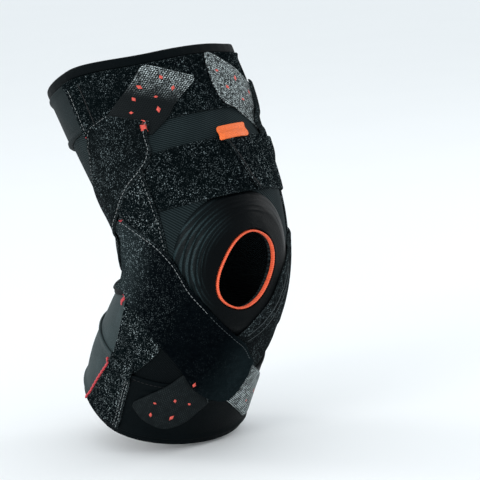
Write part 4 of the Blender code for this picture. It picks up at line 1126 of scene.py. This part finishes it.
barTack("crimson", [(98, -0.139), (101, -0.185), (105, -0.225), (104, -0.247)])

labelForm = {"width": 0.0305, "height": 0.0116, "overlap": 0.0028, "angle": -7.4, "lean": 3.0, "skew": 0.0026,
             "corner": 0.0018}


def makeLabel(f=labelForm):
    c, s, rows = math.cos(math.radians(f["lean"])), math.sin(math.radians(f["lean"])), []
    for u in np.linspace(0.5, -0.5, 7):
        ends = []
        for v in (0.0, 1.0):
            across, up = -u * f["width"] + (v - 0.5) * f["skew"], v * f["height"] - f["overlap"]
            height = bands["kneeHeight"] + bands["kneeWidth"] + across * s + up * c
            sideways = np.degrees((across * c - up * s) / sideWidth(-1.0, height))
            ends += [f["angle"] - sideways, shareOf(height)]
        rows.append(ends)
    lay("label", Strap(rows, f["corner"], f["corner"]), "labelCloth", "label", walls["label"], step=0.0008,
        lip=0.0002, groove=0.0001, uneven=0.0)


cordForm = {"radius": 0.0011, "steps": 150, "sides": 14, "twist": 5.2, "strand": 0.16,
            "from": -0.01, "to": 0.97}


def makeCord(node, side, f=cordForm):
    front, t = side * bands["calfFront"], np.linspace(f["from"], f["to"], f["steps"])
    low, high = (front + side * bands[reach] for reach in ("lowReach", "highReach"))
    angle = low + side * math.degrees(f["radius"] / halfKnee) + t * (high - low)
    height = calfLow(low) + t * bands["calfPanel"]
    line = legPoint(angle, height, stack.read(stack.seat(0.0005, 0.0006), angle, height) + f["radius"] * 0.6)
    way = np.gradient(line, axis=0)
    way = way / np.linalg.norm(way, axis=1)[:, None]
    out = legPoint(angle, height, 0.01) - legPoint(angle, height, 0.0)
    out = out - (out * way).sum(axis=1)[:, None] * way
    out = out / np.linalg.norm(out, axis=1)[:, None]
    turn, run = np.arange(f["sides"]) * math.tau / f["sides"], runOf(line)
    strands = np.cos(2 * turn - run[:, None] * 1000 / f["twist"] * math.tau)
    cap = np.maximum(dome(np.minimum(run, run[-1] - run) / f["radius"]), math.sqrt(0.05))
    size = f["radius"] * (1 - f["strand"] + f["strand"] * strands) * cap[:, None]
    ring = (np.cos(turn)[None, :, None] * out[:, None, :]
            + np.sin(turn)[None, :, None] * np.cross(way, out)[:, None, :])
    points = line[:, None, :] + ring * size[..., None]
    last = (f["steps"] - 1) * f["sides"]
    caps = [tuple(range(f["sides"]))[::-1], tuple(last + k for k in range(f["sides"]))]
    faces = outward(points, gridFaces(f["steps"], f["sides"], True) + caps)
    put(node + "_sewn", points, faces, "crimsonCord", node)


makeLabel()
makeCord("outer_cord", 1.0)
makeCord("inner_cord", -1.0)
for colour, look, slot in (("pale", "paleThread", "mesh"), ("dark", "darkThread", "binding"),
                           ("greyAndFoldHighlight", "greyThreadAndFoldHighlight", "binding"), ("coral", "coralMark", "cord"),
                           ("crimson", "crimsonCord", "cord")):
    joinThreads(colour, look)
print("threads sewn")

floorSet = {"size": 60.0, "drop": 0.0006, "colour": (0.862, 0.868, 0.87)}
lightSet = (
    # name, place, size, watts
    ("keyLeft", (-1.9, -0.4, 0.42), 0.8, 18.0),
    ("fillRight", (1.9, -0.4, 0.5), 0.8, 10.0),
    ("rimBack", (-1.1, 1.7, 0.9), 0.8, 9.0),
)
worldSet = {"colour": (0.88, 0.935, 0.97), "strength": 1.06}


def makeFloor():
    half, z = floorSet["size"] / 2, float(cadBox[0][2]) - floorSet["drop"]
    x, y = np.meshgrid(np.linspace(-half, half, 9), np.linspace(-half, half, 9), indexing="ij")
    mesh = newMesh("floor", np.stack([x, y, np.full(x.shape, z)], axis=-1), gridFaces(9, 9))
    floor = addObject("floor", mesh)
    b = Bench("floorPaint")
    low = tuple(0.985 * c for c in floorSet["colour"])
    b.feed(b.shader.inputs["Base Color"], b.mix(b.grain(160.0, 1.0), low, floorSet["colour"]))
    b.feed(b.shader.inputs["Roughness"], 0.75)
    mesh.materials.append(b.material)


def makeLights():
    for name, place, size, watts in lightSet:
        data = bpy.data.lights.new(name, "AREA")
        data.shape, data.size, data.energy = "DISK", size, watts
        lamp = addObject(name, data)
        lamp.location = place
        lamp.rotation_euler = (-Vector(place)).to_track_quat("-Z", "Y").to_euler()
    world = bpy.data.worlds.new("studio")
    world.use_nodes = True
    ground = world.node_tree.nodes["Background"]
    ground.inputs["Color"].default_value = (*worldSet["colour"], 1.0)
    ground.inputs["Strength"].default_value = worldSet["strength"]
    bpy.context.scene.world = world
    bpy.context.scene.view_settings.view_transform = "Standard"


makeFloor()
makeLights()
